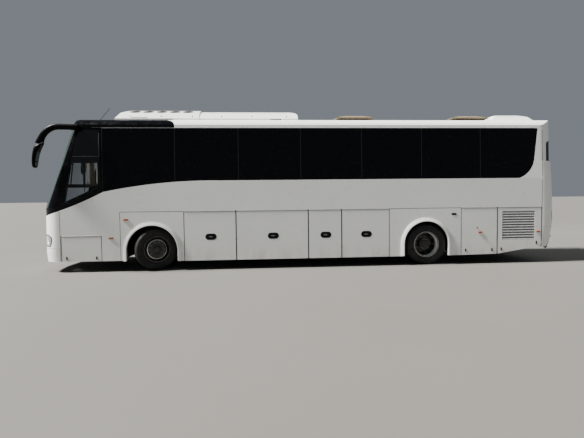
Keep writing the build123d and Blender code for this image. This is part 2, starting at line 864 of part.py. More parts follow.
# Amber side markers that stand on the fixed walls
side_markers = []
for x, z, span, on_left, on_right in marker_rows:
    lens = marker_lens(x, z, span, seat_gap)
    if on_left == "wall":
        side_markers.append(lens)
    if on_right == "wall":
        side_markers.append(other_side(lens))
save("side_markers", side_markers)

# Front passenger door: a pane in a leaf, carried by a swinging arm
leaf_thick = 42


def leaf_profile(z0, z1, outer, inner):
    """Right-side wall profile between two heights, as (y, z) points."""
    heights = [z0] + ([belt_height] if z0 < belt_height < z1 else []) + [z1]
    outside = [(side_at(z) - outer, z) for z in heights]
    inside = [(side_at(z) - inner, z) for z in reversed(heights)]
    return outside + inside


def leaf_slab(x0, x1, z0, z1, outer, inner):
    """Right-side slab that follows the wall's lean."""
    points = leaf_profile(z0, z1, outer, inner)
    face = make_face(Polyline(*[(x0, y, z) for y, z in points], close=True))
    return extrude(face, amount=x1 - x0, dir=(1, 0, 0))


leaf_x0 = entry_start + entry_gap
leaf_x1 = entry_end - entry_gap
leaf_top = entry_top - entry_gap
leaf = leaf_slab(leaf_x0, leaf_x1, entry_low, leaf_top, 0, leaf_thick)
pane_x0 = leaf_x0 + 70
pane_x1 = leaf_x1 - 70
pane_rows = [(1240, leaf_top - 170), (entry_low + 130, 1040)]
entry_panes = []
for z0, z1 in pane_rows:
    leaf = leaf - leaf_slab(pane_x0, pane_x1, z0, z1, -5, leaf_thick + 5)
    pane = leaf_slab(pane_x0 + seat_gap, pane_x1 - seat_gap, z0 + seat_gap, z1 - seat_gap, 0, glass)
    entry_panes.append(pane)

# The arm's post stands inside the entry, the cranked arm reaches the leaf's middle
post_x = entry_start + 62
post_y = half_width - 100
post_radius = 22
arm_reach = 430
arm_heights = [1140, leaf_top - 85]
pin_radius = 12
pin_play = 0.3
arm_height = 36
arm_width = 36
hang_x = post_x + arm_reach
hang_y = post_y
step_z = 385
post = cylinder((post_x, post_y, step_z + seat_gap), (0, 0, 1), post_radius, entry_top - 60 - step_z)
arm_points = [(post_x, post_y), (post_x + 70, post_y - 125), (post_x + 200, post_y - 150), (hang_x, hang_y)]
front_door_arm = post
for z in arm_heights:
    low = z - arm_height / 2
    for start, end in zip(arm_points, arm_points[1:]):
        run = Vector(*end) - Vector(*start)
        turn = Vector(1, 0, 0).get_signed_angle(run, Vector(0, 0, 1))
        middle = (Vector(*start) + Vector(*end)) / 2
        bar = Box(run.length, arm_width, arm_height)
        front_door_arm = front_door_arm + Pos(middle.X, middle.Y, z) * Rot(0, 0, turn) * bar
    for point in arm_points[1:-1]:
        front_door_arm = front_door_arm + cylinder((*point, low), (0, 0, 1), arm_width / 2, arm_height)
    front_door_arm = front_door_arm + cylinder((hang_x, hang_y, low), (0, 0, 1), 24, arm_height)
    front_door_arm = front_door_arm - cylinder((hang_x, hang_y, low - 5), (0, 0, 1), pin_radius + pin_play,
                                               arm_height + 10)
    # Bracket on the leaf: a fork above and below the arm's eye, with the pin
    leaf_inner = half_width - leaf_thick
    fork = cylinder((hang_x, hang_y, low - 40), (0, 0, 1), pin_radius, arm_height + 80)
    for fork_z in (low - 42, low + arm_height + 2):
        fork = fork + box(hang_x - 24, hang_x + 24, hang_y - 20, leaf_inner + 2, fork_z, fork_z + 40)
    leaf = leaf + fork
save("front_door", leaf)
save("front_door_glass", entry_panes)
save("front_door_arm", front_door_arm)

# Floors: passenger deck, driver's platform, entry steps and stairs up to the aisle
deck_thick = 42
platform_thick = 40
platform_front = front_x + 560
platform_low = platform_height - platform_thick
riser_thick = 30
floor_y = inner_y - seat_gap
deck_front = front_axle_x - 560
deck_rear = rear_x - 560
tread_thick = 30
tread_middle_z = (step_z + platform_height) / 2
tread_edges = [(floor_y - 10, step_z), (floor_y - 330, tread_middle_z), (floor_y - 640, platform_height)]
stair_y = tread_edges[2][0]
deck = box(deck_front, deck_rear, -floor_y, floor_y, floor_height - deck_thick, floor_height)
platform = box(platform_front, deck_front + riser_thick, -floor_y, stair_y, platform_low, platform_height)
platform = platform + box(platform_front, entry_start, stair_y - 5, floor_y, platform_low, platform_height)
riser = box(deck_front, deck_front + riser_thick, -floor_y, floor_y, platform_low, floor_height)
aisle_half = 220
stair_depth = 300
stairs = box(deck_front - stair_depth, deck_front, -aisle_half, aisle_half, platform_height - 5,
             (platform_height + floor_height) / 2)
steps = []
well_end = entry_end + 40
well_wall = 25
for (y_out, z), (y_in, next_z) in zip(tread_edges, tread_edges[1:]):
    tread = box(entry_start, well_end, y_in, y_out, z - tread_thick, z)
    back = box(entry_start, well_end, y_in - 5, y_in + 20, z - tread_thick, next_z)
    steps += [tread, back]
for x in (entry_start - well_wall, well_end):
    steps.append(box(x, x + well_wall, stair_y - 5, floor_y, step_z - tread_thick, platform_height))
floor_deck = deck + platform + riser + stairs
for piece in steps:
    floor_deck = floor_deck + piece
save("floor_deck", floor_deck)

# Chassis rails
rail_y0 = 450
rail_y1 = 540
rail_z0 = 620
rail_z1 = 760

# Wheelhouses: an arched cover over each wheel, closed on the inboard side
house_wall = 18
house_depth = inner_y - seat_gap - rail_y1 - 5
deck_low = floor_height - deck_thick
wheelhouses = []
for axle_x, shift, radius in arches:
    y0 = -inner_y + seat_gap
    y1 = y0 + house_depth
    skin = radius + house_wall
    middle = axle_x + shift
    centre = arch_top - radius
    low = 300
    edges = [
        path((middle + skin, centre), (middle + skin, low), (middle - skin, low), (middle - skin, centre)),
        bow((middle - skin, centre), (middle, centre + skin), (middle + skin, centre)),
    ]
    cover = side_face(edges, y0, y1) - arch_space(axle_x, shift, radius, y0 - 5, y1 - house_wall)
    cover = cover - box(axle_x - 430, axle_x + 430, y1 - house_wall - 5, y1 + 5, 0, rail_z0 + 20)
    wheelhouses += [cover, other_side(cover)]
save("wheelhouses", wheelhouses)

# Luggage bays: floor and cross walls between the axles
bay_x0 = luggage_start - 40
bay_x1 = luggage_end + 40
bay_wall = 30
bay_y = half_width - door_thickness - 12
luggage_bays = box(bay_x0, bay_x1, -bay_y, bay_y, bay_floor_height - bay_wall, bay_floor_height)
for x in (bay_x0, (luggage_edges[2] - bay_wall / 2), bay_x1 - bay_wall):
    luggage_bays = luggage_bays + box(x, x + bay_wall, -bay_y, bay_y, bay_floor_height - bay_wall,
                                      deck_low - seat_gap)
save("luggage_bays", luggage_bays)

# Chassis: ladder frames ahead of and behind the bays


def ladder(x0, x1, cross_xs):
    """Two rails with cross members."""
    frame = box(x0, x1, rail_y0, rail_y1, rail_z0, rail_z1) + box(x0, x1, -rail_y1, -rail_y0, rail_z0, rail_z1)
    for x in cross_xs:
        frame = frame + box(x - cross_half, x + cross_half, -rail_y0 - 5, rail_y0 + 5, rail_z0 + 20, rail_z1 - 20)
    return frame


def floor_post(x, hand, top):
    """Short post on a rail that carries the floor."""
    edges = sorted((hand * rail_y0, hand * (rail_y0 + 80)))
    return box(x - 30, x + 30, *edges, rail_z1 - 5, top - seat_gap)


cross_half = 40
rail_front = front_x + 220
rail_rear = rear_x - 220
front_ladder = ladder(rail_front, bay_x0 - seat_gap, [rail_front + 60, front_axle_x - 700, front_axle_x + 450])
rear_ladder = ladder(bay_x1 + seat_gap, rail_rear, [rear_axle_x - 600, rear_axle_x + 700])
for hand in (-1, 1):
    for x in (front_x + 700, front_axle_x - 640):
        front_ladder = front_ladder + floor_post(x, hand, platform_low)
    for x in (rear_axle_x - 760, rear_axle_x + 760, rear_x - 700):
        rear_ladder = rear_ladder + floor_post(x, hand, deck_low)
save("chassis_frame", [front_ladder, rear_ladder])

# Tow eyes: plates with a vertical bore, bolted under the rails' ends
eye_radius = 22
eye_thick = 40
eye_low = 420
eye_reach = 90
eye_half = 45


def tow_eye(x, toward):
    """Plate with a bore and a neck up to the rail, in line with one rail."""
    y = (rail_y0 + rail_y1) / 2
    neck = box(x - 30, x + 30, y - 40, y + 40, eye_low, rail_z0 - seat_gap)
    bore_x = x + toward * eye_reach
    plate = box(min(x, bore_x), max(x, bore_x), y - eye_half, y + eye_half, eye_low, eye_low + eye_thick)
    plate = plate + cylinder((bore_x, y, eye_low), (0, 0, 1), eye_half, eye_thick)
    return neck + plate - cylinder((bore_x, y, eye_low - 5), (0, 0, 1), eye_radius, eye_thick + 10)


save("tow_eyes", [tow_eye(front_x + 270, -1), tow_eye(rear_x - 330, 1)])

# Axles
beam_z0 = 330
beam_height = 110
beam_half = 60
beam_end_y = 760
spring_radius = 105
spring_y = (rail_y0 + rail_y1) / 2
front_spring_reach = 230
rear_spring_reach = 300
saddle_half = 50
spring_seat_front = beam_z0 + 60
spring_seat_rear = tyre_radius - 60
eye_z0 = tyre_radius - 70
eye_z1 = tyre_radius + 70
kingpin_radius = 24
kingpin_play = 0.3
front_axle = box(front_axle_x - beam_half, front_axle_x + beam_half, -beam_end_y, beam_end_y, beam_z0,
                 beam_z0 + beam_height)
for hand in (-1, 1):
    knee_edges = [
        (beam_end_y - 20, beam_z0 + 5), (beam_end_y - 20, beam_z0 + beam_height - 5), (kingpin_y - 20, eye_z1 - 5),
        (kingpin_y - 20, eye_z0 + 5), (kingpin_y - 62, eye_z0 + 3),
    ]
    knee = make_face(Polyline(*[(front_axle_x - 50, hand * y, z) for y, z in knee_edges], close=True))
    front_axle = front_axle + extrude(knee, amount=100, dir=(1, 0, 0))
    front_axle = front_axle + cylinder((front_axle_x, hand * kingpin_y, eye_z0), (0, 0, 1), 52, eye_z1 - eye_z0)
    front_axle = front_axle - cylinder((front_axle_x, hand * kingpin_y, eye_z0 - 5), (0, 0, 1),
                                       kingpin_radius + kingpin_play, eye_z1 - eye_z0 + 10)
    for x in (front_axle_x - front_spring_reach, front_axle_x + front_spring_reach):
        front_axle = front_axle + cylinder((x, hand * spring_y, spring_seat_front), (0, 0, 1), spring_radius,
                                           rail_z0 - seat_gap - spring_seat_front)
    saddle_end = front_spring_reach + 60
    front_axle = front_axle + box(front_axle_x - saddle_end, front_axle_x + saddle_end, hand * spring_y - saddle_half,
                                  hand * spring_y + saddle_half, spring_seat_front - 50, spring_seat_front + 20)
save("front_axle", front_axle)

hub_inner = 150
axle_tube = 88
differential_radius = 215
rear_axle = cylinder((rear_axle_x, -(tyre_y - twin_spacing - hub_inner), tyre_radius), (0, 1, 0), axle_tube,
                     2 * (tyre_y - twin_spacing - hub_inner))
rear_axle = rear_axle + Pos(rear_axle_x, 0, tyre_radius) * Sphere(differential_radius)
spindle_radius = 45
spindle_play = 0.3
for hand in (-1, 1):
    start = hand * (tyre_y - twin_spacing - hub_inner - 5)
    rear_axle = rear_axle + cylinder((rear_axle_x, start, tyre_radius), (0, hand, 0), spindle_radius,
                                     twin_spacing + hub_inner - 20)
    for x in (rear_axle_x - rear_spring_reach, rear_axle_x + rear_spring_reach):
        rear_axle = rear_axle + cylinder((x, hand * spring_y, spring_seat_rear), (0, 0, 1), spring_radius,
                                         rail_z0 - seat_gap - spring_seat_rear)
    saddle_end = rear_spring_reach + 60
    rear_axle = rear_axle + box(rear_axle_x - saddle_end, rear_axle_x + saddle_end, hand * spring_y - saddle_half,
                                hand * spring_y + saddle_half, spring_seat_rear - 30, spring_seat_rear + 30)
save("rear_axle", rear_axle)

# Wheels: outlines as (radius, distance outboard of the tyre's middle)
bead = rim_radius + seat_gap
half_tyre = tyre_width / 2
tyre_outline = [
    # radius, outboard
    (bead, -98), (rim_radius + 17, -99), (rim_radius + 60, -half_tyre), (tyre_radius - 75, -half_tyre),
    (tyre_radius - 14, -118),
    (tyre_radius, -100), (tyre_radius, 100), (tyre_radius - 14, 118), (tyre_radius - 75, half_tyre),
    (rim_radius + 60, half_tyre), (rim_radius + 17, 99), (bead, 98),
]
rim_wall = 12
flange_radius = rim_radius + 13.5
front_disc = [
    # radius, outboard
    (rim_radius - 6, 10), (rim_radius - 6, 24), (215, 96), (105, 96), (60, 120), (0, 120), (0, 70),
    (spindle_radius + spindle_play, 70), (spindle_radius + spindle_play, -20), (95, -20), (105, 84),
    (212, 84),
]
rear_outer_disc = [
    # radius, outboard
    (rim_radius - 6, -58), (rim_radius - 6, -44), (200, -140), (112, -140), (112, 10), (85, 40), (0, 40), (0, 0),
    (spindle_radius + spindle_play, 0), (spindle_radius + spindle_play, -twin_spacing - 95),
    (112, -twin_spacing - 95), (112, -153), (205, -153),
]


def spun(outline, y):
    """Turn a (radius, outboard) outline about the axis of a right wheel."""
    points = [(r, y + u, 0) for r, u in outline]
    return revolve(make_face(Polyline(*points, close=True)), axis=Axis.Y)


def barrel(y):
    """Rim barrel with a flange at both edges."""
    outline = [
        (rim_radius, -100), (flange_radius, -104), (flange_radius, -118), (rim_radius - rim_wall, -118),
        (rim_radius - rim_wall, 118), (flange_radius, 118), (flange_radius, 104), (rim_radius, 100),
    ]
    return spun(outline, y)


def hand_holes(y, radius, count, depth):
    """Round holes through a disc."""
    holes = []
    for i in range(count):
        angle = radians(360 / count * (i + 0.5))
        centre = (radius * cos(angle), y - depth, radius * sin(angle))
        holes.append(cylinder(centre, (0, 1, 0), hole_radius, 2 * depth))
    return holes


hole_count = 10
hole_radius = 27
front_hole_circle = 246
rear_hole_circle = 240


def front_rim():
    """Front rim with its hub, the disc bulging outboard."""
    rim = barrel(tyre_y) + spun(front_disc, tyre_y)
    for hole in hand_holes(tyre_y + 70, front_hole_circle, hole_count, 60):
        rim = rim - hole
    return rim


def rear_rims():
    """Twin rims on one hub, the outer disc deep inside its rim."""
    twin_y = tyre_y - twin_spacing
    inner_disc = [(rim_radius - 6, -268), (rim_radius - 6, -254), (205, -153.5), (105, -153.5), (105, -172),
                  (200, -172)]
    rims = barrel(tyre_y) + barrel(twin_y) + spun(rear_outer_disc, tyre_y)
    rims = rims + spun(inner_disc, tyre_y)
    for hole in hand_holes(tyre_y - 95, rear_hole_circle, hole_count, 40):
        rims = rims - hole
    return rims


def place(shape, axle_x, hand):
    """Move a right wheel piece from the origin to its axle, or mirror it to the left."""
    placed = Pos(axle_x, 0, tyre_radius) * shape
    return placed if hand > 0 else other_side(placed)


def steered(shape, hand):
    """Turn a front wheel piece about its kingpin to the parked angle."""
    angle = parked_steer_left if hand < 0 else parked_steer_right
    return shape.rotate(Axis((front_axle_x, hand * kingpin_y, 0), (0, 0, 1)), angle)


def knuckle(hand):
    """Yoke over the axle's eye with its kingpin and the wheel spindle."""
    y = hand * kingpin_y
    pin = cylinder((front_axle_x, y, eye_z0 - 50), (0, 0, 1), kingpin_radius, eye_z1 - eye_z0 + 100)
    ears = []
    for z in (eye_z0 - 50.5, eye_z1 + 0.5):
        ears.append(cylinder((front_axle_x, y, z), (0, 0, 1), 50, 50))
        ears.append(box(front_axle_x - 48, front_axle_x + 48, min(y, y + hand * 80), max(y, y + hand * 80), z, z + 50))
    back = box(front_axle_x - 60, front_axle_x + 60, min(y + hand * 60, y + hand * 80),
               max(y + hand * 60, y + hand * 80), eye_z0 - 50, eye_z1 + 50)
    stub = cylinder((front_axle_x, y + hand * 60, tyre_radius), (0, hand, 0), spindle_radius,
                    kingpin_inset - 60 + 69)
    result = pin + back + stub
    for ear in ears:
        result = result + ear
    return result


tyre = spun(tyre_outline, tyre_y)
twin_tyre = spun(tyre_outline, tyre_y - twin_spacing)
rim = front_rim()
twin_rims = rear_rims()
for side_name, hand in (("left", -1), ("right", 1)):
    save(f"tyre_front_{side_name}", steered(place(tyre, front_axle_x, hand), hand))
    save(f"rim_front_{side_name}", steered(place(rim, front_axle_x, hand), hand))
    save(f"knuckle_{side_name}", steered(knuckle(hand), hand))
    save(f"tyres_rear_{side_name}", [place(tyre, rear_axle_x, hand), place(twin_tyre, rear_axle_x, hand)])
    save(f"rims_rear_{side_name}", place(twin_rims, rear_axle_x, hand))

# Engine: one block between the rear rails, on four feet
engine_x0 = rear_x - 1520
engine_x1 = rear_x - 220
engine_half = 430
engine_low = 390
engine_high = 1230
engine = box(engine_x0, engine_x1, -engine_half, engine_half, engine_low, engine_high)
for x in (engine_x0 + 150, engine_x1 - 250):
    for hand in (-1, 1):
        edge = hand * (engine_half - 5)
        foot = hand * (rail_y1 - 20)
        engine = engine + box(x, x + 100, min(edge, foot), max(edge, foot), rail_z1 + seat_gap, rail_z1 + 40)
save("engine", engine)

# Cab: dashboard, steering wheel and the driver's seat
cab_y = -650
dash_front = front_x + 600
dash_back = dash_front + 240
dash_foot = platform_height + seat_gap
dash_top = platform_height + 670
dash_face = [
    (dash_front, dash_foot), (dash_back, dash_foot), (dash_back, dash_top - 270), (dash_back + 90, dash_top - 100),
    (dash_back, dash_top), (dash_front, dash_top - 40),
]
dash_left = -1050
dash_right = 150
dashboard = side_prism(dash_face, dash_left, dash_right)
save("dashboard", dashboard)

wheel_tilt = 35
wheel_x = dash_front + 430
wheel_z = dash_top + 40
wheel_radius = 225
wheel_grip = 15
column_radius = 30
column_length = 210
rim_plane = Plane(origin=(wheel_x, cab_y, wheel_z), z_dir=(sin(radians(wheel_tilt)), 0, cos(radians(wheel_tilt))))
steering = rim_plane * Torus(wheel_radius, wheel_grip)
steering = steering + (rim_plane * Box(2 * wheel_radius - 10, 34, 14)) + (rim_plane * Cylinder(48, 34))
column = cylinder((wheel_x, cab_y, wheel_z), tuple(-rim_plane.z_dir), column_radius, column_length) - dashboard
steering = steering + column
save("steering_wheel", steering)


def seat(x, y, width, base_z, foot_width):
    """Seat seen from the side: foot, cushion and a back leaning rearwards."""
    cushion = [(x, base_z + 330), (x + 20, base_z + 440), (x + 400, base_z + 420), (x + 470, base_z + 900),
               (x + 530, base_z + 1130), (x + 610, base_z + 1130), (x + 560, base_z + 700), (x + 500, base_z + 330)]
    shape = side_prism(cushion, y - width / 2, y + width / 2)
    return shape + box(x + 130, x + 330, y - foot_width / 2, y + foot_width / 2, base_z + seat_gap, base_z + 340)


driver_seat = seat(wheel_x + 130, cab_y, 500, platform_height, 260)
save("driver_seat", driver_seat)

seat_pitch = 780
row_count = 12
first_row = deck_front + 260
pair_width = 900
seat_pair_y = floor_y - 60 - pair_width / 2
back_split = 24


def seat_pair(x):
    """Pair of passenger seats on the right: one cushion on its foot and two backs behind it."""
    whole = seat(x, seat_pair_y, pair_width, floor_height, 120)
    low_y = seat_pair_y - pair_width / 2
    high_y = seat_pair_y + pair_width / 2
    joint = x + 400
    top = floor_height + 1200
    cushion = whole & box(x - 10, joint - seat_gap, low_y, high_y, floor_height, top)
    backs = []
    for y0, y1 in ((low_y, seat_pair_y - back_split / 2), (seat_pair_y + back_split / 2, high_y)):
        backs += solids_of(whole & box(joint, x + 700, y0, y1, floor_height, top))
    return solids_of(cushion) + backs


passenger_seats = []
for row in range(row_count):
    pair = seat_pair(first_row + row * seat_pitch)
    passenger_seats += pair + [other_side(piece) for piece in pair]
save("passenger_seats", passenger_seats)
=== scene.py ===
import json
import math

import bmesh
import bpy
from mathutils import Matrix, Vector
from mathutils.bvhtree import BVHTree


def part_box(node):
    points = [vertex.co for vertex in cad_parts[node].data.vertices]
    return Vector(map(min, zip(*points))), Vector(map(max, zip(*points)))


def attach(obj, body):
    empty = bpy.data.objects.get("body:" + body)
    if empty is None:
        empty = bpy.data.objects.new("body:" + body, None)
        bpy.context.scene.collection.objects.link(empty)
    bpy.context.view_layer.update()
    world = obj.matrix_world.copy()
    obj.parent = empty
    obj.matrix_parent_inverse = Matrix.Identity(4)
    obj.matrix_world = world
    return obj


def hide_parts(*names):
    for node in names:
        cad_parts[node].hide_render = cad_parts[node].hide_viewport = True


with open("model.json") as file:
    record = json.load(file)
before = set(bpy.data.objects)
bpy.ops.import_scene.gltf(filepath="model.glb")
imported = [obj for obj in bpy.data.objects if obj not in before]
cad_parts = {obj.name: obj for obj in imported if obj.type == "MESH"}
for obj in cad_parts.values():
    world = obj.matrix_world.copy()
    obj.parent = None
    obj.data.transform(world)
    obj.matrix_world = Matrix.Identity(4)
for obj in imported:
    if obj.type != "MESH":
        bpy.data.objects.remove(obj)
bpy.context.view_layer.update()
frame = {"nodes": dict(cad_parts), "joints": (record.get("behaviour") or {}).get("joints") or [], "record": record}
pi = math.pi
upward = Vector((0, 0, 1))
forward = Vector((-1, 0, 0))
both = (-1, 1)  # left and right
sides = ((-1, "left"), (1, "right"))
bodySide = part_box("rear_panel")[1].y  # half the body's width
print("frame loaded:", len(frame["nodes"]), "nodes")

# Camera: where the photographer stood, and how the camera was held
shot = {"place": (-1.09, -11.17, 1.6), "turn": -4.12, "tilt": -2.8, "roll": -0.64, "lens": 27.04}


def makeCamera():
    turn, tilt, roll = (math.radians(shot[key]) for key in ("turn", "tilt", "roll"))
    ahead = Vector((-math.sin(turn), math.cos(turn), 0))
    aside = Vector((math.cos(turn), math.sin(turn), 0))
    look = ahead * math.cos(tilt) + upward * math.sin(tilt)
    high = upward * math.cos(tilt) - ahead * math.sin(tilt)
    right = aside * math.cos(roll) + high * math.sin(roll)
    top = high * math.cos(roll) - aside * math.sin(roll)
    lens = bpy.data.cameras.new("camera")
    lens.lens = shot["lens"]
    lens.sensor_width = 36
    lens.sensor_fit = "HORIZONTAL"
    lens.clip_end = 500
    camera = bpy.data.objects.new("camera", lens)
    camera.matrix_world = Matrix((right, top, -look)).transposed().to_4x4()
    camera.location = shot["place"]
    bpy.context.collection.objects.link(camera)
    bpy.context.scene.camera = camera


# Materials: each starts from a plain surface and gets its variation from nodes
def surface(name, colour, rough, metal=0, **sockets):
    material = bpy.data.materials.new(name)
    material.use_nodes = True
    shader = material.node_tree.nodes["Principled BSDF"]
    shader.inputs["Base Color"].default_value = (*colour, 1)
    shader.inputs["Roughness"].default_value = rough
    shader.inputs["Metallic"].default_value = metal
    for key, value in sockets.items():
        shader.inputs[key.replace("_", " ")].default_value = value
    material.diffuse_color = (*colour, 1)
    return material


def addNode(material, kind, **values):
    node = material.node_tree.nodes.new(kind)
    for key, value in values.items():
        setattr(node, key, value)
    return node


def join(material, start, end):
    material.node_tree.links.new(start, end)


def shaderOf(material):
    return material.node_tree.nodes["Principled BSDF"]


def places(material, stretch=(1, 1, 1)):  # object coordinates, stretched
    mapping = addNode(material, "ShaderNodeMapping")
    mapping.inputs["Scale"].default_value = stretch
    join(material, addNode(material, "ShaderNodeTexCoord").outputs["Object"], mapping.inputs["Vector"])
    return mapping.outputs["Vector"]


def noise(material, scale, detail=4, stretch=(1, 1, 1)):
    node = addNode(material, "ShaderNodeTexNoise")
    node.inputs["Scale"].default_value = scale
    node.inputs["Detail"].default_value = detail
    join(material, places(material, stretch), node.inputs["Vector"])
    return node.outputs["Fac"]


def spread(material, value, low, high, outLow=0, outHigh=1):  # values mapped from one range to another
    node = addNode(material, "ShaderNodeMapRange")
    node.interpolation_type = "SMOOTHSTEP"
    join(material, value, node.inputs["Value"])
    for key, number in (("From Min", low), ("From Max", high), ("To Min", outLow), ("To Max", outHigh)):
        node.inputs[key].default_value = number
    return node.outputs["Result"]


def times(material, first, second, kind="MULTIPLY"):
    node = addNode(material, "ShaderNodeMath", operation=kind)
    join(material, first, node.inputs[0])
    join(material, second, node.inputs[1])
    return node.outputs[0]


def alongZ(material, vector, *span):  # mask from the upright part of a vector
    split = addNode(material, "ShaderNodeSeparateXYZ")
    join(material, vector, split.inputs[0])
    return spread(material, split.outputs["Z"], *span)


def atHeight(material, *span):  # mask from the height above the ground
    return alongZ(material, places(material), *span)


def upFacing(material, *span):
    return alongZ(material, addNode(material, "ShaderNodeNewGeometry").outputs["Normal"], *span)


def tint(material, mask, colour):  # lays a colour over the surface where the mask is high
    mix = addNode(material, "ShaderNodeMix", data_type="RGBA")
    target = shaderOf(material).inputs["Base Color"]
    if target.is_linked:
        join(material, target.links[0].from_socket, mix.inputs["A"])
    else:
        mix.inputs["A"].default_value = target.default_value
    mix.inputs["B"].default_value = (*colour, 1)
    join(material, mask, mix.inputs["Factor"])
    join(material, mix.outputs["Result"], target)


def blotch(material, scale, detail, low, high, share, colour):  # patches of another colour
    tint(material, spread(material, noise(material, scale, detail), low, high, 0, share), colour)


def roughen(material, scale, detail, low, high):
    value = spread(material, noise(material, scale, detail), 0.3, 0.7, low, high)
    join(material, value, shaderOf(material).inputs["Roughness"])


def bump(material, value, strength, depth):
    node = addNode(material, "ShaderNodeBump")
    node.inputs["Strength"].default_value = strength
    node.inputs["Distance"].default_value = depth
    target = shaderOf(material).inputs["Normal"]
    if target.is_linked:
        join(material, target.links[0].from_socket, node.inputs["Normal"])
    join(material, value, node.inputs["Height"])
    join(material, node.outputs["Normal"], target)


def grain(material, scale, detail, strength, depth):
    bump(material, noise(material, scale, detail), strength, depth)


def wave(material, scale, turn=(0, 0, 0), profile="SIN"):
    node = addNode(material, "ShaderNodeTexWave", wave_profile=profile)
    node.inputs["Scale"].default_value = scale
    vector = places(material)
    vector.node.inputs["Rotation"].default_value = turn
    join(material, vector, node.inputs["Vector"])
    return node.outputs["Fac"]


def layered(material, blotches, rough, *grains):  # patches, uneven roughness and fine bumps
    for values in blotches:
        blotch(material, *values)
    roughen(material, *rough)
    for values in grains:
        grain(material, *values)
    return material


roadDust = (0.42, 0.37, 0.3)


def makePaint(name, colour, dust, ledgeShade=0):
    paint = surface(name, colour, 0.32, Coat_Weight=0.35, Coat_Roughness=0.12)
    blotch(paint, 0.9, 5, 0.35, 0.75, 0.18, (0.66, 0.67, 0.67))
    streaks = spread(paint, noise(paint, 3, 6, (2.2, 2.2, 0.6)), 0.35, 0.75)
    low = atHeight(paint, 0.62, 0.18)
    grains = spread(paint, noise(paint, 40, 3), 0.2, 0.7, dust / 2, dust)
    tint(paint, times(paint, times(paint, low, streaks), grains), roadDust)
    tint(paint, atHeight(paint, 1.5, 0.3, 0, 0.14), (0.55, 0.54, 0.48))
    tint(paint, upFacing(paint, 0.75, 1, 0, 0.05), roadDust)
    ledge = times(paint, upFacing(paint, 0.12, 0.5, 0, ledgeShade), atHeight(paint, 1.46, 1.4))
    tint(paint, ledge, (0.11, 0.105, 0.098))  # painted shade on the upward faces of the beads and louvres below 1.46 m
    # deeper painted shade on the bead's band between 1.3 and 1.37 m
    bead = times(paint, atHeight(paint, 1.3, 1.31), atHeight(paint, 1.37, 1.36))
    tint(paint, times(paint, ledge, bead), (0.05, 0.05, 0.05))
    return layered(paint, (), (6, 5, 0.26, 0.42), (1.6, 2, 0.25, 0.004), (420, 2, 0.05, 0.0004))


def makeClearGlass(name, colour, clear, edge):  # clearer where it is looked at squarely
    glass = surface(name, colour, 0.04, Specular_IOR_Level=0.4)
    weight = addNode(glass, "ShaderNodeLayerWeight")
    weight.inputs["Blend"].default_value = 0.35
    join(glass, spread(glass, weight.outputs["Facing"], 0, 1, clear, edge), shaderOf(glass).inputs["Alpha"])
    return layered(glass, [(22, 6, 0.55, 0.85, 0.12, roadDust)], (7, 4, 0.02, 0.1))


def makeDriverGlass():
    glass = makeClearGlass("driverGlass", (0.02, 0.034, 0.034), 0.12, 0.7)
    dark = atHeight(glass, 2.4, 2.41)
    tint(glass, dark, (0.003, 0.003, 0.004))
    alpha = shaderOf(glass).inputs["Alpha"]
    join(glass, times(glass, alpha.links[0].from_socket, dark, "MAXIMUM"), alpha)
    return glass


def makeLens(name, colour, glow):
    lens = surface(name, colour, 0.12, Coat_Weight=0.6, Coat_Roughness=0.05, Subsurface_Weight=0.15)
    tint(lens, spread(lens, wave(lens, 60), 0.3, 0.9, 0, 0.5), glow)
    bump(lens, wave(lens, 60), 0.5, 0.002)
    bump(lens, wave(lens, 60, (0, pi / 2, 0)), 0.3, 0.002)
    roughen(lens, 30, 3, 0.08, 0.2)
    return lens


def makeTailLens():  # red above, an amber band and a white one below
    lens = makeLens("tailLens", (0.34, 0.006, 0.008), (0.55, 0.02, 0.02))
    tint(lens, atHeight(lens, 1.214, 1.212), (0.62, 0.17, 0.01))
    tint(lens, atHeight(lens, 1.172, 1.17), (0.62, 0.62, 0.6))
    return lens


def makeHatchPlastic():
    lid = layered(surface("hatchPlastic", (0.155, 0.115, 0.065), 0.62),
                  [(5, 6, 0.4, 0.75, 0.5, (0.095, 0.07, 0.042)), (60, 3, 0.5, 0.8, 0.35, (0.2, 0.16, 0.11))],
                  (12, 4, 0.5, 0.8), (90, 4, 0.4, 0.002))
    tint(lid, atHeight(lid, 3.527, 3.518), (0.02, 0.02, 0.02))
    return lid


def makeMoulded(name, colour, rough=0.55):
    return layered(surface(name, colour, rough, Specular_IOR_Level=0.15),
                   [(12, 5, 0.45, 0.8, 0.25, tuple(c * 1.5 + 0.008 for c in colour))],
                   (25, 4, rough - 0.1, rough + 0.15), (700, 2, 0.25, 0.0006))


def makeMetal(name, colour, rough, metal, wear, wearColour):
    return layered(surface(name, colour, rough, metal),
                   [(9, 7, 0.5, 0.78, wear, wearColour), (55, 4, 0.55, 0.8, wear * 0.7, roadDust)],
                   (18, 5, rough - 0.08, rough + 0.18), (180, 4, 0.3, 0.0008))


def makeFloorCovering():
    covering = surface("floorCovering", (0.05, 0.05, 0.055), 0.7)
    bump(covering, wave(covering, 30, (0, 0, pi / 2), "TRI"), 0.6, 0.002)
    return layered(covering, [(4, 6, 0.4, 0.8, 0.4, (0.12, 0.115, 0.105))], (20, 4, 0.55, 0.85))


def makeWeave(name, colour, fleck):
    cloth = surface(name, colour, 0.9, Sheen_Weight=0.35, Sheen_Roughness=0.5, Specular_IOR_Level=0.2)
    threads = times(cloth, wave(cloth, 160), wave(cloth, 160, (0, 0, pi / 2)))
    tint(cloth, spread(cloth, threads, 0.2, 0.7, 0, 0.6), fleck)
    bump(cloth, threads, 0.5, 0.0015)
    return layered(cloth, [(25, 5, 0.5, 0.7, 0.5, tuple(c * 0.6 for c in colour))], (60, 3, 0.8, 0.98),
                   (350, 3, 0.3, 0.001))
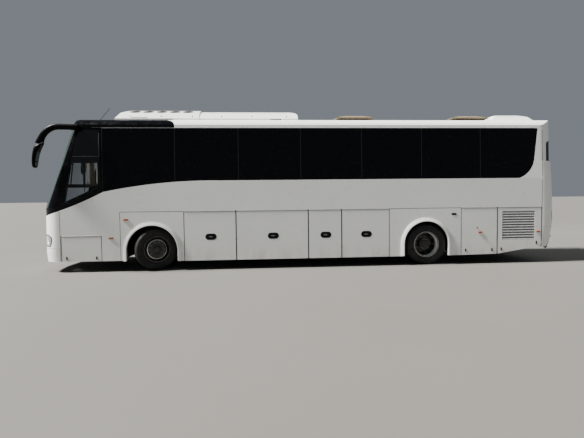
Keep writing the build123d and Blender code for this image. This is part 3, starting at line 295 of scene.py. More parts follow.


# the last number sets the painted shade on the upward ledges below 1.46 m
whitePaint = makePaint("whitePaint", (0.8, 0.81, 0.79), 0.45, 0.62)
# lighter copy of the white paint, with less dust: painted highlight on the arch mouldings
litLipPaint = makePaint("litLipPaint", (0.84, 0.84, 0.82), 0.15)
blackGloss = layered(surface("blackGloss", (0.0015, 0.0015, 0.0022), 0.16, Specular_IOR_Level=0.14),
                     [(14, 6, 0.5, 0.8, 0.003, roadDust)], (9, 5, 0.12, 0.26), (2.2, 2, 0.2, 0.003))
privacyGlass = layered(surface("privacyGlass", (0.002, 0.002, 0.003), 0.05, Specular_IOR_Level=0.14, Alpha=0.97),
                       [(18, 6, 0.55, 0.85, 0.03, roadDust)], (5, 4, 0.03, 0.09), (0.9, 1, 0.12, 0.004))
clearGlass = makeClearGlass("clearGlass", (0.055, 0.078, 0.07), 0.14, 0.55)
driverGlass = makeDriverGlass()
lampGlass = makeClearGlass("lampGlass", (0.7, 0.72, 0.73), 0.16, 0.7)
tailLens = makeTailLens()
amberLens = makeLens("amberLens", (0.26, 0.055, 0.01), (0.36, 0.11, 0.03))
redLens = makeLens("redLens", (0.42, 0.008, 0.008), (0.65, 0.03, 0.03))
hatchPlastic = makeHatchPlastic()
blackPlastic = makeMoulded("blackPlastic", (0.009, 0.009, 0.01))
greyPlastic = makeMoulded("greyPlastic", (0.24, 0.24, 0.235), 0.6)
tyreRubber = layered(surface("tyreRubber", (0.013, 0.013, 0.014), 0.78, Specular_IOR_Level=0.3),
                     [(7, 7, 0.4, 0.75, 0.45, (0.045, 0.041, 0.036)), (70, 3, 0.5, 0.8, 0.35, (0.032, 0.03, 0.027))],
                     (30, 4, 0.65, 0.92), (260, 4, 0.4, 0.001))
rimSteel = makeMetal("rimSteel", (0.028, 0.028, 0.03), 0.42, 0.35, 0.55, (0.12, 0.075, 0.045))
bareSteel = makeMetal("bareSteel", (0.62, 0.61, 0.59), 0.3, 0.95, 0.35, (0.3, 0.22, 0.15))
chassisSteel = makeMetal("chassisSteel", (0.028, 0.028, 0.03), 0.55, 0.3, 0.5, (0.1, 0.055, 0.03))
engineIron = makeMetal("engineIron", (0.11, 0.11, 0.115), 0.6, 0.5, 0.5, (0.06, 0.045, 0.03))
chrome = makeMetal("chrome", (0.86, 0.87, 0.88), 0.1, 1, 0.08, (0.6, 0.6, 0.6))
alloyTrim = makeMetal("alloyTrim", (0.22, 0.22, 0.22), 0.5, 0.5, 0.2, (0.15, 0.145, 0.135))
floorCovering = makeFloorCovering()
seatFabric = makeWeave("seatFabric", (0.025, 0.04, 0.095), (0.06, 0.09, 0.2))
brownCurtain = makeWeave("brownCurtain", (0.2, 0.15, 0.1), (0.28, 0.22, 0.15))
whiteCurtain = makeWeave("whiteCurtain", (0.9, 0.89, 0.86), (0.8, 0.8, 0.78))
sealRubber = makeMoulded("sealRubber", (0.006, 0.006, 0.007), 0.7)
mirrorShell = layered(surface("mirrorShell", (0.002, 0.002, 0.0025), 0.33, Specular_IOR_Level=0.05), (),
                      (25, 4, 0.28, 0.38), (500, 2, 0.15, 0.0005))
paneJoint = makeMoulded("paneJoint", (0.055, 0.055, 0.057), 0.6)
darkJoint = makeMoulded("darkJoint", (0.008, 0.008, 0.009), 0.6)
railPlastic = makeMoulded("railPlastic", (0.1, 0.1, 0.095), 0.6)
# pale copy of the rim steel for the rear barrels: painted highlight of the sunlit inside of the deep dish
litBarrelSteel = makeMetal("litBarrelSteel", (0.85, 0.86, 0.85), 0.42, 0.15, 0.15, (0.3, 0.26, 0.22))
nutSteel = makeMetal("nutSteel", (0.1, 0.1, 0.1), 0.42, 0.7, 0.5, (0.1, 0.06, 0.035))
plateEnamel = makeMoulded("plateEnamel", (0.7, 0.7, 0.69), 0.3)
mirrorGlass = layered(surface("mirrorGlass", (0.06, 0.062, 0.065), 0.06, 1), (), (6, 3, 0.04, 0.09))

finishOfSlot = {
    "white_paint": whitePaint, "black_gloss": blackGloss, "privacy_glass": privacyGlass, "clear_glass": clearGlass,
    "lamp_glass": lampGlass, "red_lens": tailLens, "amber_lens": amberLens, "tan_plastic": hatchPlastic,
    "black_plastic": blackPlastic, "tyre_rubber": tyreRubber, "rim_steel": rimSteel, "chassis_steel": chassisSteel,
    "engine_iron": engineIron, "floor_covering": floorCovering, "seat_fabric": seatFabric,
}


def dressNodes():
    for row in frame["record"]["subparts"]:
        node = frame["nodes"][row["node"]]
        node.data.materials.clear()
        node.data.materials.append(finishOfSlot[row["material_slot"]])
    frame["nodes"]["driver_window"].data.materials[0] = driverGlass
    print("materials on the CAD nodes")


# Mesh building: shapes are added to one bmesh, in the row frame, and become one piece
def makePiece(name, material, build, body="root", hands=(), **finish):  # hands: the sides that it is built for
    shape = bmesh.new()
    for side in hands:
        build(shape, side)
    if not hands:
        build(shape)
    bmesh.ops.recalc_face_normals(shape, faces=shape.faces)
    mesh = bpy.data.meshes.new(name)
    shape.to_mesh(mesh)
    shape.free()
    return finishPiece(name, body, material, mesh, **finish)


def makePair(name, material, build, **finish):  # a piece for the left and one for the right
    for side, word in sides:
        makePiece(name + word, material, build, hands=(side,), **finish)


def finishPiece(name, body, material, mesh, bevel=0, slot=None, angle=35):
    piece = bpy.data.objects.new(name, mesh)
    bpy.context.collection.objects.link(piece)
    mesh.materials.clear()
    mesh.materials.append(material)
    mesh.shade_smooth()
    mesh.set_sharp_from_angle(angle=math.radians(angle))
    if bevel:
        rounding = piece.modifiers.new("rounding", "BEVEL")
        rounding.width = bevel
        rounding.segments = 2
        rounding.limit_method = "ANGLE"
        rounding.angle_limit = math.radians(40)
    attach(piece, body)
    return piece


def addBox(shape, low, high, place=None):
    low, high = Vector(low), Vector(high)
    size, middle = high - low, (low + high) / 2
    for vertex in bmesh.ops.create_cube(shape, size=1)["verts"]:
        vertex.co = Vector(a * b for a, b in zip(vertex.co, size)) + middle
        if place:
            vertex.co = place @ vertex.co


def addLoops(shape, loops, closed=False):  # skin over rings that have the same number of points
    rings = [[shape.verts.new(point) for point in ring] for ring in loops]
    pairs = list(zip(rings, rings[1:])) + ([(rings[-1], rings[0])] if closed else [])
    count = len(rings[0])
    for first, second in pairs:
        for i in range(count):
            j = (i + 1) % count
            shape.faces.new((first[i], first[j], second[j], second[i]))
    if not closed:
        shape.faces.new(list(reversed(rings[0])))
        shape.faces.new(rings[-1])


def addTurned(shape, profile, place, steps=32):  # (radius, along +Y) points turned round the Y axis
    loops = []
    for i in range(steps):
        turn = 2 * pi * i / steps
        loops.append([place @ Vector((r * math.sin(turn), u, r * math.cos(turn))) for r, u in profile])
    addLoops(shape, loops, closed=True)
    bmesh.ops.remove_doubles(shape, verts=shape.verts, dist=1e-6)


def addPlate(shape, outline, y0, y1):  # outline of (x, z) points drawn along Y
    addLoops(shape, [[Vector((x, y, z)) for x, z in outline] for y in (y0, y1)])


def addHoop(shape, outer, inner, y0, y1):  # flat ring between two outlines
    loops = []
    for outline, y in ((outer, y0), (outer, y1), (inner, y1), (inner, y0)):
        loops.append([Vector((x, y, z)) for x, z in outline])
    addLoops(shape, loops, closed=True)


def addRod(shape, path, radius, steps=8):  # round bar through points
    loops = []
    path = [Vector(point) for point in path]
    for i, point in enumerate(path):
        way = (path[min(i + 1, len(path) - 1)] - path[max(i - 1, 0)]).normalized()
        aside = way.cross(upward if abs(way.z) < 0.9 else Vector((1, 0, 0))).normalized()
        high = aside.cross(way)
        loops.append([point + radius * (aside * math.cos(2 * pi * k / steps) + high * math.sin(2 * pi * k / steps))
                      for k in range(steps)])
    addLoops(shape, loops)


def addRibbon(shape, spots, width, thick):  # flat strip along (place, normal) pairs of a surface
    loops = []
    for i, (point, normal) in enumerate(spots):
        way = (spots[min(i + 1, len(spots) - 1)][0] - spots[max(i - 1, 0)][0]).normalized()
        aside = way.cross(normal).normalized() * width / 2
        out = normal * thick
        base = point - normal * 0.0005
        loops.append([base - aside, base + aside, base + aside * 0.8 + out, base - aside * 0.8 + out])
    addLoops(shape, loops)


surfaceTrees = {}


def treeOf(nodeName):
    if nodeName not in surfaceTrees:
        mesh = frame["nodes"][nodeName].data
        points = [v.co for v in mesh.vertices]
        surfaceTrees[nodeName] = BVHTree.FromPolygons(points, [p.vertices for p in mesh.polygons])
    return surfaceTrees[nodeName]


def hit(nodeNames, start, way):  # first place where a ray meets any of the CAD nodes, and the normal there
    way = Vector(way).normalized()
    found = [treeOf(nodeName).ray_cast(Vector(start), way) for nodeName in nodeNames.split()]
    found = [(distance, place, normal) for place, normal, index, distance in found if place is not None]
    if not found:
        raise ValueError(f"no surface of {nodeNames} at {tuple(start)}")
    distance, place, normal = min(found, key=lambda row: row[0])
    return place, (-normal if normal.dot(way) > 0 else normal)


def onSide(nodeName, x, z, side=-1):
    return hit(nodeName, (x, side * 2, z), (0, -side, 0))


def onFront(nodeName, y, z):
    return hit(nodeName, (-6.6, y, z), (1, 0, 0))


def onRear(nodeName, y, z):
    return hit(nodeName, (6.6, y, z), (-1, 0, 0))


def oval(length, high, steps=10):  # slot outline about the origin
    radius = high / 2
    reach = length / 2 - radius
    points = []
    for hand in (1, -1):
        for i in range(steps + 1):
            turn = pi * i / steps - pi / 2
            points.append((hand * (reach + radius * math.cos(turn)), hand * radius * math.sin(turn)))
    return points


def roundedBox(width, high, radius, steps=4):  # rounded rectangle about the origin
    points = []
    for corner, (a, b) in enumerate(((1, 1), (-1, 1), (-1, -1), (1, -1))):
        for i in range(steps + 1):
            turn = pi / 2 * (corner + i / steps)
            points.append((a * (width / 2 - radius) + radius * math.cos(turn),
                           b * (high / 2 - radius) + radius * math.sin(turn)))
    return points


def moved(outline, x, z):
    return [(px + x, pz + z) for px, pz in outline]


def squareRound(steps, power):  # points of a circle that is drawn towards a square
    for i in range(steps):
        turn = 2 * pi * i / steps
        yield [math.copysign(abs(part) ** power, part) for part in (math.cos(turn), math.sin(turn))]


def ringSection(inner, outer, low, high):  # for addTurned
    return [(inner, low), (outer, low), (outer, high), (inner, high)]


def evenly(low, high, steps):
    return [low + (high - low) * i / steps for i in range(steps + 1)]


def between(start, end, steps):  # points from start to end
    return list(zip(*(evenly(a, b, steps) for a, b in zip(start, end))))


def facing(middle, out, beside=upward):  # matrix whose +Y points out of a surface
    aside = out.cross(beside).normalized()
    place = Matrix((aside, out, aside.cross(out))).transposed().to_4x4()
    place.translation = middle
    return place


def sideOf(nodeName):  # -1 for a node on the left, 1 on the right
    return -1 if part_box(nodeName)[0].y < 0 else 1


# Wheels
tyre = {"pitches": 54, "notch": 0.009, "sway": 0.0025, "twinSpacing": 0.312}
tyreHalf = {
    # (across, radius) from the bead to the middle of the tread
    "side": [(0.098, 0.2856), (0.1005, 0.299), (0.1105, 0.3075), (0.1175, 0.3095), (0.1285, 0.33),
             (0.1345, 0.356), (0.1357, 0.385), (0.1345, 0.412), (0.1312, 0.4262), (0.1328, 0.429),
             (0.1322, 0.434), (0.129, 0.4365)],
    "shoulder": [(0.125, 0.45), (0.118, 0.4605), (0.109, 0.466)],
    "rib": [(0.079, 0.4684), (0.0775, 0.456), (0.0675, 0.456), (0.066, 0.469), (0.033, 0.4695), (0.0315, 0.4565),
            (0.0235, 0.4565), (0.022, 0.4698)],
}


def wheelPlace(jointName):  # matrix of a wheel: +Y points outboard, the origin is the tyre's middle
    joint = next(j for j in frame["joints"] if j["name"] == jointName)
    middle, axis = Vector(joint["pos_m"]), Vector(joint["axis"]).normalized()
    return facing(middle, axis if axis.y * middle.y > 0 else -axis)


def addTyre(shape, place, shift):
    half = [(u, r, kind) for kind, points in tyreHalf.items() for u, r in points]
    profile = half + [(0, 0.47, "rib")] + [(-u, r, kind) for u, r, kind in reversed(half)]
    steps = tyre["pitches"] * 4
    loops = []
    for i in range(steps):
        turn = 2 * pi * i / steps
        notched = i % 4 in (1, 2)
        ring = []
        for u, r, kind in profile:
            if kind == "shoulder" and notched:
                r -= tyre["notch"]
            if kind == "rib":
                u += tyre["sway"] * (1 if notched else -1)
            ring.append(place @ Vector((r * math.sin(turn), u + shift, r * math.cos(turn))))
        loops.append(ring)
    addLoops(shape, loops, closed=True)


def around(place, circle, seat, turn):  # place on a circle round a wheel's axis
    return place @ Matrix.Translation((circle * math.sin(turn), seat, circle * math.cos(turn)))


def addNut(shape, place, size):  # hexagon nut on a flat washer, with the stud's end
    addTurned(shape, ringSection(0, size * 0.75, 0, 0.004), place, 16)
    addTurned(shape, [(0, 0.004), (size / 2, 0.004), (size / 2, 0.022), (size * 0.4, 0.026), (0, 0.026)], place, 6)
    addTurned(shape, [(0, 0.026), (size * 0.25, 0.026), (size * 0.22, 0.034), (0, 0.034)], place, 10)


rims = {
    "nutCircle": 0.1675, "nutCount": 10, "nutSize": 0.036,
    "front": {
        "shifts": (0,), "seat": 0.096, "valve": (0.255, 0.06),
        "hub": [(0, 0.096), (0.082, 0.096), (0.084, 0.101), (0.074, 0.115), (0.064, 0.1235), (0.03, 0.129),
                (0, 0.13)],
        # how many, on what circle, how far out, section
        "studs": (6, 0.054, 0.122, [(0, 0), (0.006, 0), (0.006, 0.007), (0, 0.008)]),
        # piece, material, then steps and section of each ring
        "rings": [
            ("rim_rings_", bareSteel, (72, [(0.204, 0.0965), (0.2175, 0.093), (0.22, 0.0975), (0.207, 0.1015)])),
            ("rim_edge_", nutSteel, (72, [(0.2925, 0.1175), (0.2975, 0.1165), (0.297, 0.12), (0.293, 0.12)])),
            ("rim_barrel_", rimSteel, (72, ringSection(0.2715, 0.2735, 0.026, 0.1185))),
            ("brake_drum_", chassisSteel, (48, ringSection(0.12, 0.262, 0.03, 0.034)))],
    },
    "rear": {
        "shifts": (0, -tyre["twinSpacing"]), "seat": -0.14, "valve": (0.262, 0.02),
        "hub": [(0, 0.0395), (0.082, 0.0395), (0.084, 0.044), (0.07, 0.05), (0, 0.054)],
        "studs": (8, 0.068, 0.048, [(0, 0), (0.01, 0), (0.01, 0.01), (0, 0.012)]),
        "rings": [
            ("rim_rings_", bareSteel, (72, [(0.2905, 0.1175), (0.2975, 0.1165), (0.297, 0.12), (0.291, 0.1205)]),
             (48, ringSection(0.109, 0.1145, -0.02, 0.006))),
            # pale barrel liner: painted highlight of the sunlit inside
            ("rim_barrel_", litBarrelSteel, (72, ringSection(0.2715, 0.2735, -0.043, 0.1185)))],
    },
}


def dressWheel(kind, word):
    values = rims[kind]
    suffix, plural = f"{kind}_{word}", "s" if kind == "rear" else ""
    body, place = f"wheel{plural}_{suffix}", wheelPlace("spin_" + suffix)

    def tyres(shape):
        for shift in values["shifts"]:
            addTyre(shape, place, shift)

    rubber = makePiece("tyre_dressed_" + suffix, tyreRubber, tyres, body, slot="tyre_rubber", angle=28)
    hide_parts(f"tyre{plural}_{suffix}")

    def nuts(shape):
        for i in range(rims["nutCount"]):
            turn = 2 * pi * (i + 0.5) / rims["nutCount"]
            addNut(shape, around(place, rims["nutCircle"], values["seat"], turn), rims["nutSize"])

    makePiece("wheel_nuts_" + suffix, nutSteel, nuts, body)
    for name, material, *rings in values["rings"]:
        makePiece(name + suffix, material,
                  lambda shape: [addTurned(shape, section, place, steps) for steps, section in rings], body)

    def hub(shape):
        addTurned(shape, values["hub"], place, 40)
        count, circle, seat, section = values["studs"]
        for i in range(count):
            addTurned(shape, section, around(place, circle, seat, 2 * pi * i / count), 6)

    makePiece("hub_cap_" + suffix, rimSteel, hub, body, slot="rim_steel")
    r, u = values["valve"]
    stem = [place @ Vector(point) for point in ((0, u - 0.03, r), (0, u, r - 0.004), (0, u + 0.035, r - 0.012))]
    makePiece("valve_" + suffix, sealRubber, lambda shape: addRod(shape, stem, 0.0045), body)


def dressWheels():
    for word in ("left", "right"):
        for kind in ("front", "rear"):
            dressWheel(kind, word)
    print("wheels dressed")


# Latches in the luggage doors, catches, locks and marker lenses
latch = {"length": 0.24, "high": 0.13, "z": 0.742, "shift": 0.018, "depth": 0.014}


def dressLatch(door):
    low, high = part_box(door)
    side = sideOf(door)
    x, z = (low.x + high.x) / 2 + latch["shift"], latch["z"]
    face = side * bodySide
    floor = face - side * latch["depth"]

    def layer(outline, dx, dz, y0, y1):  # outline and depths of a plate in the dish
        return moved(outline, x + dx, z + dz), floor + side * y0, floor + side * y1

    def dish(shape):
        length, tall = latch["length"], latch["high"]
        addPlate(shape, *layer(oval(length - 0.004, tall - 0.004), 0, 0, 0, 0.003))
        addHoop(shape, moved(oval(length + 0.012, tall + 0.012), x, z), moved(oval(length - 0.014, tall - 0.014), x, z),
                face - side * 0.001, face + side * 0.0022)
        addPlate(shape, *layer(roundedBox(0.118, 0.062, 0.012), -0.018, -0.004, 0.003, 0.0125))
        addTurned(shape, [(0, 0), (0.013, 0), (0.013, 0.009), (0.01, 0.011), (0, 0.011)],
                  Matrix.Translation((x + 0.072, floor, z)) @ Matrix.Rotation(0 if side > 0 else pi, 4, "Z"), 16)

    makePiece("latch_" + door, blackPlastic, dish, door, bevel=0.0012)
    highlightRidge = layer(roundedBox(0.076, 0.016, 0.004), -0.006, 0, 0.012, 0.0138)  # raised ridge across the paddle, its grey a painted highlight on the black latch
    makePiece("latch_highlight_" + door, greyPlastic, lambda shape: addPlate(shape, *highlightRidge), door)


catches = {
    # door: (along its length, up its height) of each catch, as shares
    "service_flap_left": [(0.13, 0.13), (0.87, 0.13)],
    "service_door_left": [(0.13, 0.1), (0.86, 0.1)],
    "service_door_right": [(0.14, 0.1), (0.87, 0.1)],
    "grille_door": [(0.09, 0.1), (0.89, 0.225)],
}
locks = {"service_door_left": (3.972, 0.85), "service_door_right": (3.972, 0.85)}


def addButton(shape, x, z, side, outline, stand):  # low moulded cap on a side panel
    rings = ((1, -0.002), (1, stand * 0.6), (0.86, stand), (0.55, stand), (0.5, stand * 0.6))
    addLoops(shape, [[Vector((x + a * grow, side * (bodySide + out), z + b * grow)) for a, b in outline]
                     for grow, out in rings])


def dressCatches(door, shares):
    low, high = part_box(door)
    side = sideOf(door)

    def buttons(shape):
        for along, up in shares:
            x, z = low.x + along * (high.x - low.x), low.z + up * (high.z - low.z)
            addButton(shape, x, z, side, [(b, a) for a, b in oval(0.078, 0.03, 8)], 0.007)
            addBox(shape, (x - 0.002, side * bodySide, z - 0.022), (x + 0.002, side * (bodySide + 0.006), z + 0.022))
        if door in locks:
            addButton(shape, *locks[door], side, oval(0.031, 0.03, 8), 0.006)

    makePiece("catches_" + door, blackPlastic, buttons, door)


markerLens = {
    "half": (0.046, 0.021), "stand": 0.0225, "chamfer": 0.009,
    # door: how far ahead of the rear end, and how high
    "doors": {"service_door_left": (1.956, 0.74), "service_door_right": (1.956, 0.74), "grille_door": (0.536, 0.735)},
}


def dressDoorLens(door, ahead, z):  # amber cap over the lens that is part of a door
    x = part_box("rear_panel")[1].x - ahead
    wide, high = markerLens["half"]
    stand, chamfer = markerLens["stand"], markerLens["chamfer"]

    def cap(shape, side):
        addLoops(shape, [[Vector((x + a * (wide - cut), side * (bodySide + out), z + b * (high - cut)))
                          for a, b in ((-1, -1), (1, -1), (1, 1), (-1, 1))]
                         for out, cut in ((0, 0), (stand - chamfer, 0), (stand, chamfer))])

    makePiece("marker_lens_" + door, amberLens, cap, door, (sideOf(door),), bevel=0.002, slot="amber_lens")


screen = {"from": 0.11, "to": 0.16, "z": (0.545, 1.232), "deep": 0.0385, "wires": (45, 36), "half": 0.001}


def dressFlaps():
    for door in sorted(frame["nodes"]):
        if door.startswith("luggage_door"):
            dressLatch(door)
    for door, shares in catches.items():
        dressCatches(door, shares)
    for door, values in markerLens["doors"].items():
        dressDoorLens(door, *values)
    low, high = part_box("grille_door")

    def wires(shape):  # woven wire behind the louvres
        y, half = -bodySide + screen["deep"], screen["half"]
        x0, x1, (z0, z1) = low.x + screen["from"], high.x - screen["to"], screen["z"]
        upright, level = screen["wires"]
        for x in evenly(x0, x1, upright - 1):
            addBox(shape, (x - half, y, z0), (x + half, y + 0.002, z1))
        for z in evenly(z0, z1, level - 1):
            addBox(shape, (x0, y + 0.002, z - half), (x1, y + 0.004, z + half))

    makePiece("grille_screen", chassisSteel, wires, "grille_door")
    print("flaps dressed")


# Seals round the flaps, joints between the panes, seams of fixed panels, drip rail and window trim
seams = {"width": 0.01, "lift": 0.0012, "seal": 0.009, "sealLift": 0.0015, "joint": 0.015}


def heightsAt(nodeName, x, side, low, high):  # lowest and highest place of a node above one point of the side
    tree = treeOf(nodeName)
    found = [z for z in evenly(low, high, int((high - low) / 0.004))
             if tree.ray_cast(Vector((x, side * 2, z)), Vector((0, -side, 0)))[0] is not None]
    return found[0], found[-1]


def dressSeals():
    for door in sorted(frame["nodes"]):
        if door.startswith(("luggage_door", "service_", "grille_door")):
            low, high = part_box(door)

            def seal(shape, side):
                half, top = seams["seal"] / 2, high.z - 0.014
                runs = [[(x, z) for z in heightsAt(door, x, side, low.z, high.z)]
                        for x in (low.x + half, high.x - half)]
                for run in runs + [[(low.x, top), (high.x, top)]]:
                    spots = [(Vector((x, side * bodySide, z)), Vector((0, side, 0))) for x, z in run]
                    addRibbon(shape, spots, seams["seal"], seams["sealLift"])

            makePiece("seal_" + door, sealRubber, seal, door, (sideOf(door),))

    def hatchSeal(shape):
        low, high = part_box("engine_hatch")
        runs = [((y, low.z + 0.012), (y, high.z - 0.03)) for y in (low.y + 0.006, high.y - 0.006)]
        runs += [((low.y + 0.01, z), (high.y - 0.01, z)) for z in (low.z + 0.007, high.z - 0.024)]
        for start, end in runs:
            spots = [onRear("engine_hatch", y, z) for y, z in between(start, end, 12)]
            for place, normal in spots:
                place.x = min(place.x, high.x - 0.0016)
            addRibbon(shape, spots, seams["seal"], seams["sealLift"])

    makePiece("seal_engine_hatch", sealRubber, hatchSeal, "engine_hatch")
    print("seals laid round the flaps")


archTrim = {
    # offset from the arch's edge along its radius, how far it stands from the wall
    "section": [(0.0765, 0), (0.0765, 0.012), (0.071, 0.0165), (0.053, 0.0225), (0.035, 0.028), (0.017, 0.033),
                (0.004, 0.035), (-0.0015, 0.033), (-0.0015, 0)],
    # middle, radius and foot height of each arch
    "arches": [(-3.5, 0.562, 0.232), (2.756, 0.528, 0.224)], "top": 1.015, "bend": 48, "leg": 4,
}


def dressArches():  # rounded mouldings over the arch lips, in a lighter paint that paints their highlight
    bend, leg = archTrim["bend"], archTrim["leg"]

    def trims(shape, side):
        for middle, radius, foot in archTrim["arches"]:
            centre = archTrim["top"] - radius
            loops = []
            for i in range(-leg, bend + leg + 1):
                turn = pi * min(max(i, 0), bend) / bend
                drop = max(-i, i - bend, 0) / leg * (foot - centre)
                loops.append([Vector((middle - (radius + offset) * math.cos(turn), side * (bodySide + out),
                                      centre + (radius + offset) * math.sin(turn) + drop))
                              for offset, out in archTrim["section"]])
            addLoops(shape, loops)

    makePair("arch_mouldings_", litLipPaint, trims, slot="white_paint", angle=50)
    print("arches dressed")


panes = {"firstX": -2.965, "pitch": 1.402, "count": 6, "z": (1.76, 3.168), "half": 0.007}


def dressPanes():  # dark filling over the joints between the side panes
    half = panes["half"]

    def joints(shape, side):
        nodeName = "side_glass_" + dict(sides)[side]
        middles = [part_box(nodeName)[0].x - 0.004]
        middles += [panes["firstX"] + i * panes["pitch"] for i in range(panes["count"])]
        for x in middles:
            low, high = heightsAt(nodeName, x + half, side, *panes["z"])
            spots = [onSide(nodeName, x + half, z, side) for z in evenly(low, high, 12)]
            addRibbon(shape, [(Vector((x, place.y, place.z)), normal) for place, normal in spots],
                      seams["joint"], seams["sealLift"])

    makePair("pane_joints_", darkJoint, joints)
    print("pane joints filled")


def seamStrip(name, nodeName, runs, side=-1, material=sealRubber, width=seams["width"], lift=seams["lift"]):
    def strips(shape):
        for start, end in runs:
            steps = max(2, int(sum(abs(b - a) for a, b in zip(start, end)) / 0.15))
            addRibbon(shape, [onSide(nodeName, x, z, side) for x, z in between(start, end, steps)], width, lift)

    makePiece(name, material, strips)


def dressSides():
    first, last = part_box("luggage_door_left_1"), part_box("luggage_door_left_4")
    seamZ = first[1].z
    clear = 0.012  # the strips end this far from an opening
    frontArch, archEnd, archStart = first[0].x - 1.39, first[0].x - clear, last[1].x + clear
    serviceX, firstRight = (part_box(name)[0].x - clear for name in ("service_door_left", "luggage_door_right_1"))
    seamStrip("wall_seams_left", "side_wall_left",
              [((frontArch, seamZ), (archEnd, seamZ)), ((frontArch, seamZ), (frontArch, 0.26)),
               ((archStart, seamZ), (serviceX, seamZ))])
    seamStrip("wall_seams_right", "side_wall_right",
              [((frontArch, seamZ), (firstRight, seamZ)), ((archEnd, seamZ), (archEnd, 0.26)),
               ((archStart, seamZ), (serviceX, seamZ)),
               ((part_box("service_door_right")[1].x + clear, seamZ), (5.5, seamZ))], 1)
    for side, word in sides:
        seamStrip("front_seam_" + word, "front_mask", [((-5.475, 0.27), (-5.475, 1.345))], side)
        seamStrip("rear_seam_" + word, "rear_panel", [((5.557, 0.39), (5.557, 3.12))], side)
        for part, nodeName, start, end, material in (("front", "roof_front_cap", -4.74, -2.99, railPlastic),
                                                     ("rear", "roof_shell", -2.955, 5.35, whitePaint)):
            seamStrip(f"drip_rail_{part}_{word}", nodeName, [((start, 3.181), (end, 3.181))], side, material,
                      0.007, 0.004)
    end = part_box("driver_window")[1].x - 0.006
    for word, runs, material, width, lift in (
            ("trim", [((-5.155, 2.547), (end, 2.547)), ((end, 2.547), (end, 3.06))], paneJoint, 0.016, 0.0025),
            ("bars", [((-5.265, 1.905), (-4.64, 1.905))], sealRubber, 0.075, 0.003),
            ("bar", [((-5.205, 1.945), (-5.15, 2.42))], sealRubber, 0.026, 0.003),
            ("divider", [((-4.918, 1.935), (-4.918, 2.42))], sealRubber, 0.05, 0.004),
            ("post", [((-4.918, 1.78), (-4.918, 1.875))], sealRubber, 0.016, 0.004)):
        seamStrip("driver_window_" + word, "driver_window", runs, -1, material, width, lift)

    def grip(shape, side, x=3.413, z=1.175):  # oval finger recess of the filler flap
        addButton(shape, x, z, side, oval(0.125, 0.048, 10), 0.006)
        addPlate(shape, moved(oval(0.064, 0.022, 8), x, z), side * bodySide, side * (bodySide + 0.005))

    makePair("filler_grip_", blackPlastic, grip)
    print("sides dressed")


# Front: lamps, plate, wipers, intake, windscreen surround
def addLamp(shape, middle, aim, radius, depth):  # bowl of a reflector that opens along an aim
    inside = [(0.93, -0.35), (0.72, -0.7), (0.35, -0.95)]
    outside = [(0.38, -0.95), (0.76, -0.7), (0.97, -0.35)]
    bowl = [(radius, 0)] + [(radius * a, b * depth) for a, b in inside] + [(0.004, -depth), (0.004, -depth - 0.004)]
    bowl += [(radius * a, b * depth - 0.004) for a, b in outside] + [(radius + 0.006, 0)]
    addTurned(shape, bowl, facing(middle, Vector(aim).normalized()), 36)


lamp = {"z": (0.59, 0.83), "turnMiddle": (-5.5, 0.75), "turnEnd": 66, "bowls": [(0.745, 0.088), (0.945, 0.082)],
        "cornerTurn": 44,
        # outline of the lens round the corner: (turn from straight ahead, height)
        "corner": [(59.6, 0.832), (70.8, 0.768), (69.3, 0.652), (65.7, 0.588)],
        "bulb": [(0, 0), (0.01, 0), (0.013, 0.012), (0.012, 0.024), (0.006, 0.031), (0, 0.033)],
        "indicator": [(0, 0), (0.014, 0), (0.016, 0.008), (0.012, 0.02), (0, 0.026)]}
lampNodes = "headlamps front_mask front_frame"


def roundCorner(side, turn, z):  # place on the front corner at a turn from straight ahead
    x, y = lamp["turnMiddle"]
    way = Vector((-math.cos(math.radians(turn)), side * math.sin(math.radians(turn)), 0))
    return hit(lampNodes + " side_wall_left side_wall_right", Vector((x, side * y, z)) + way * 1.3, -way)


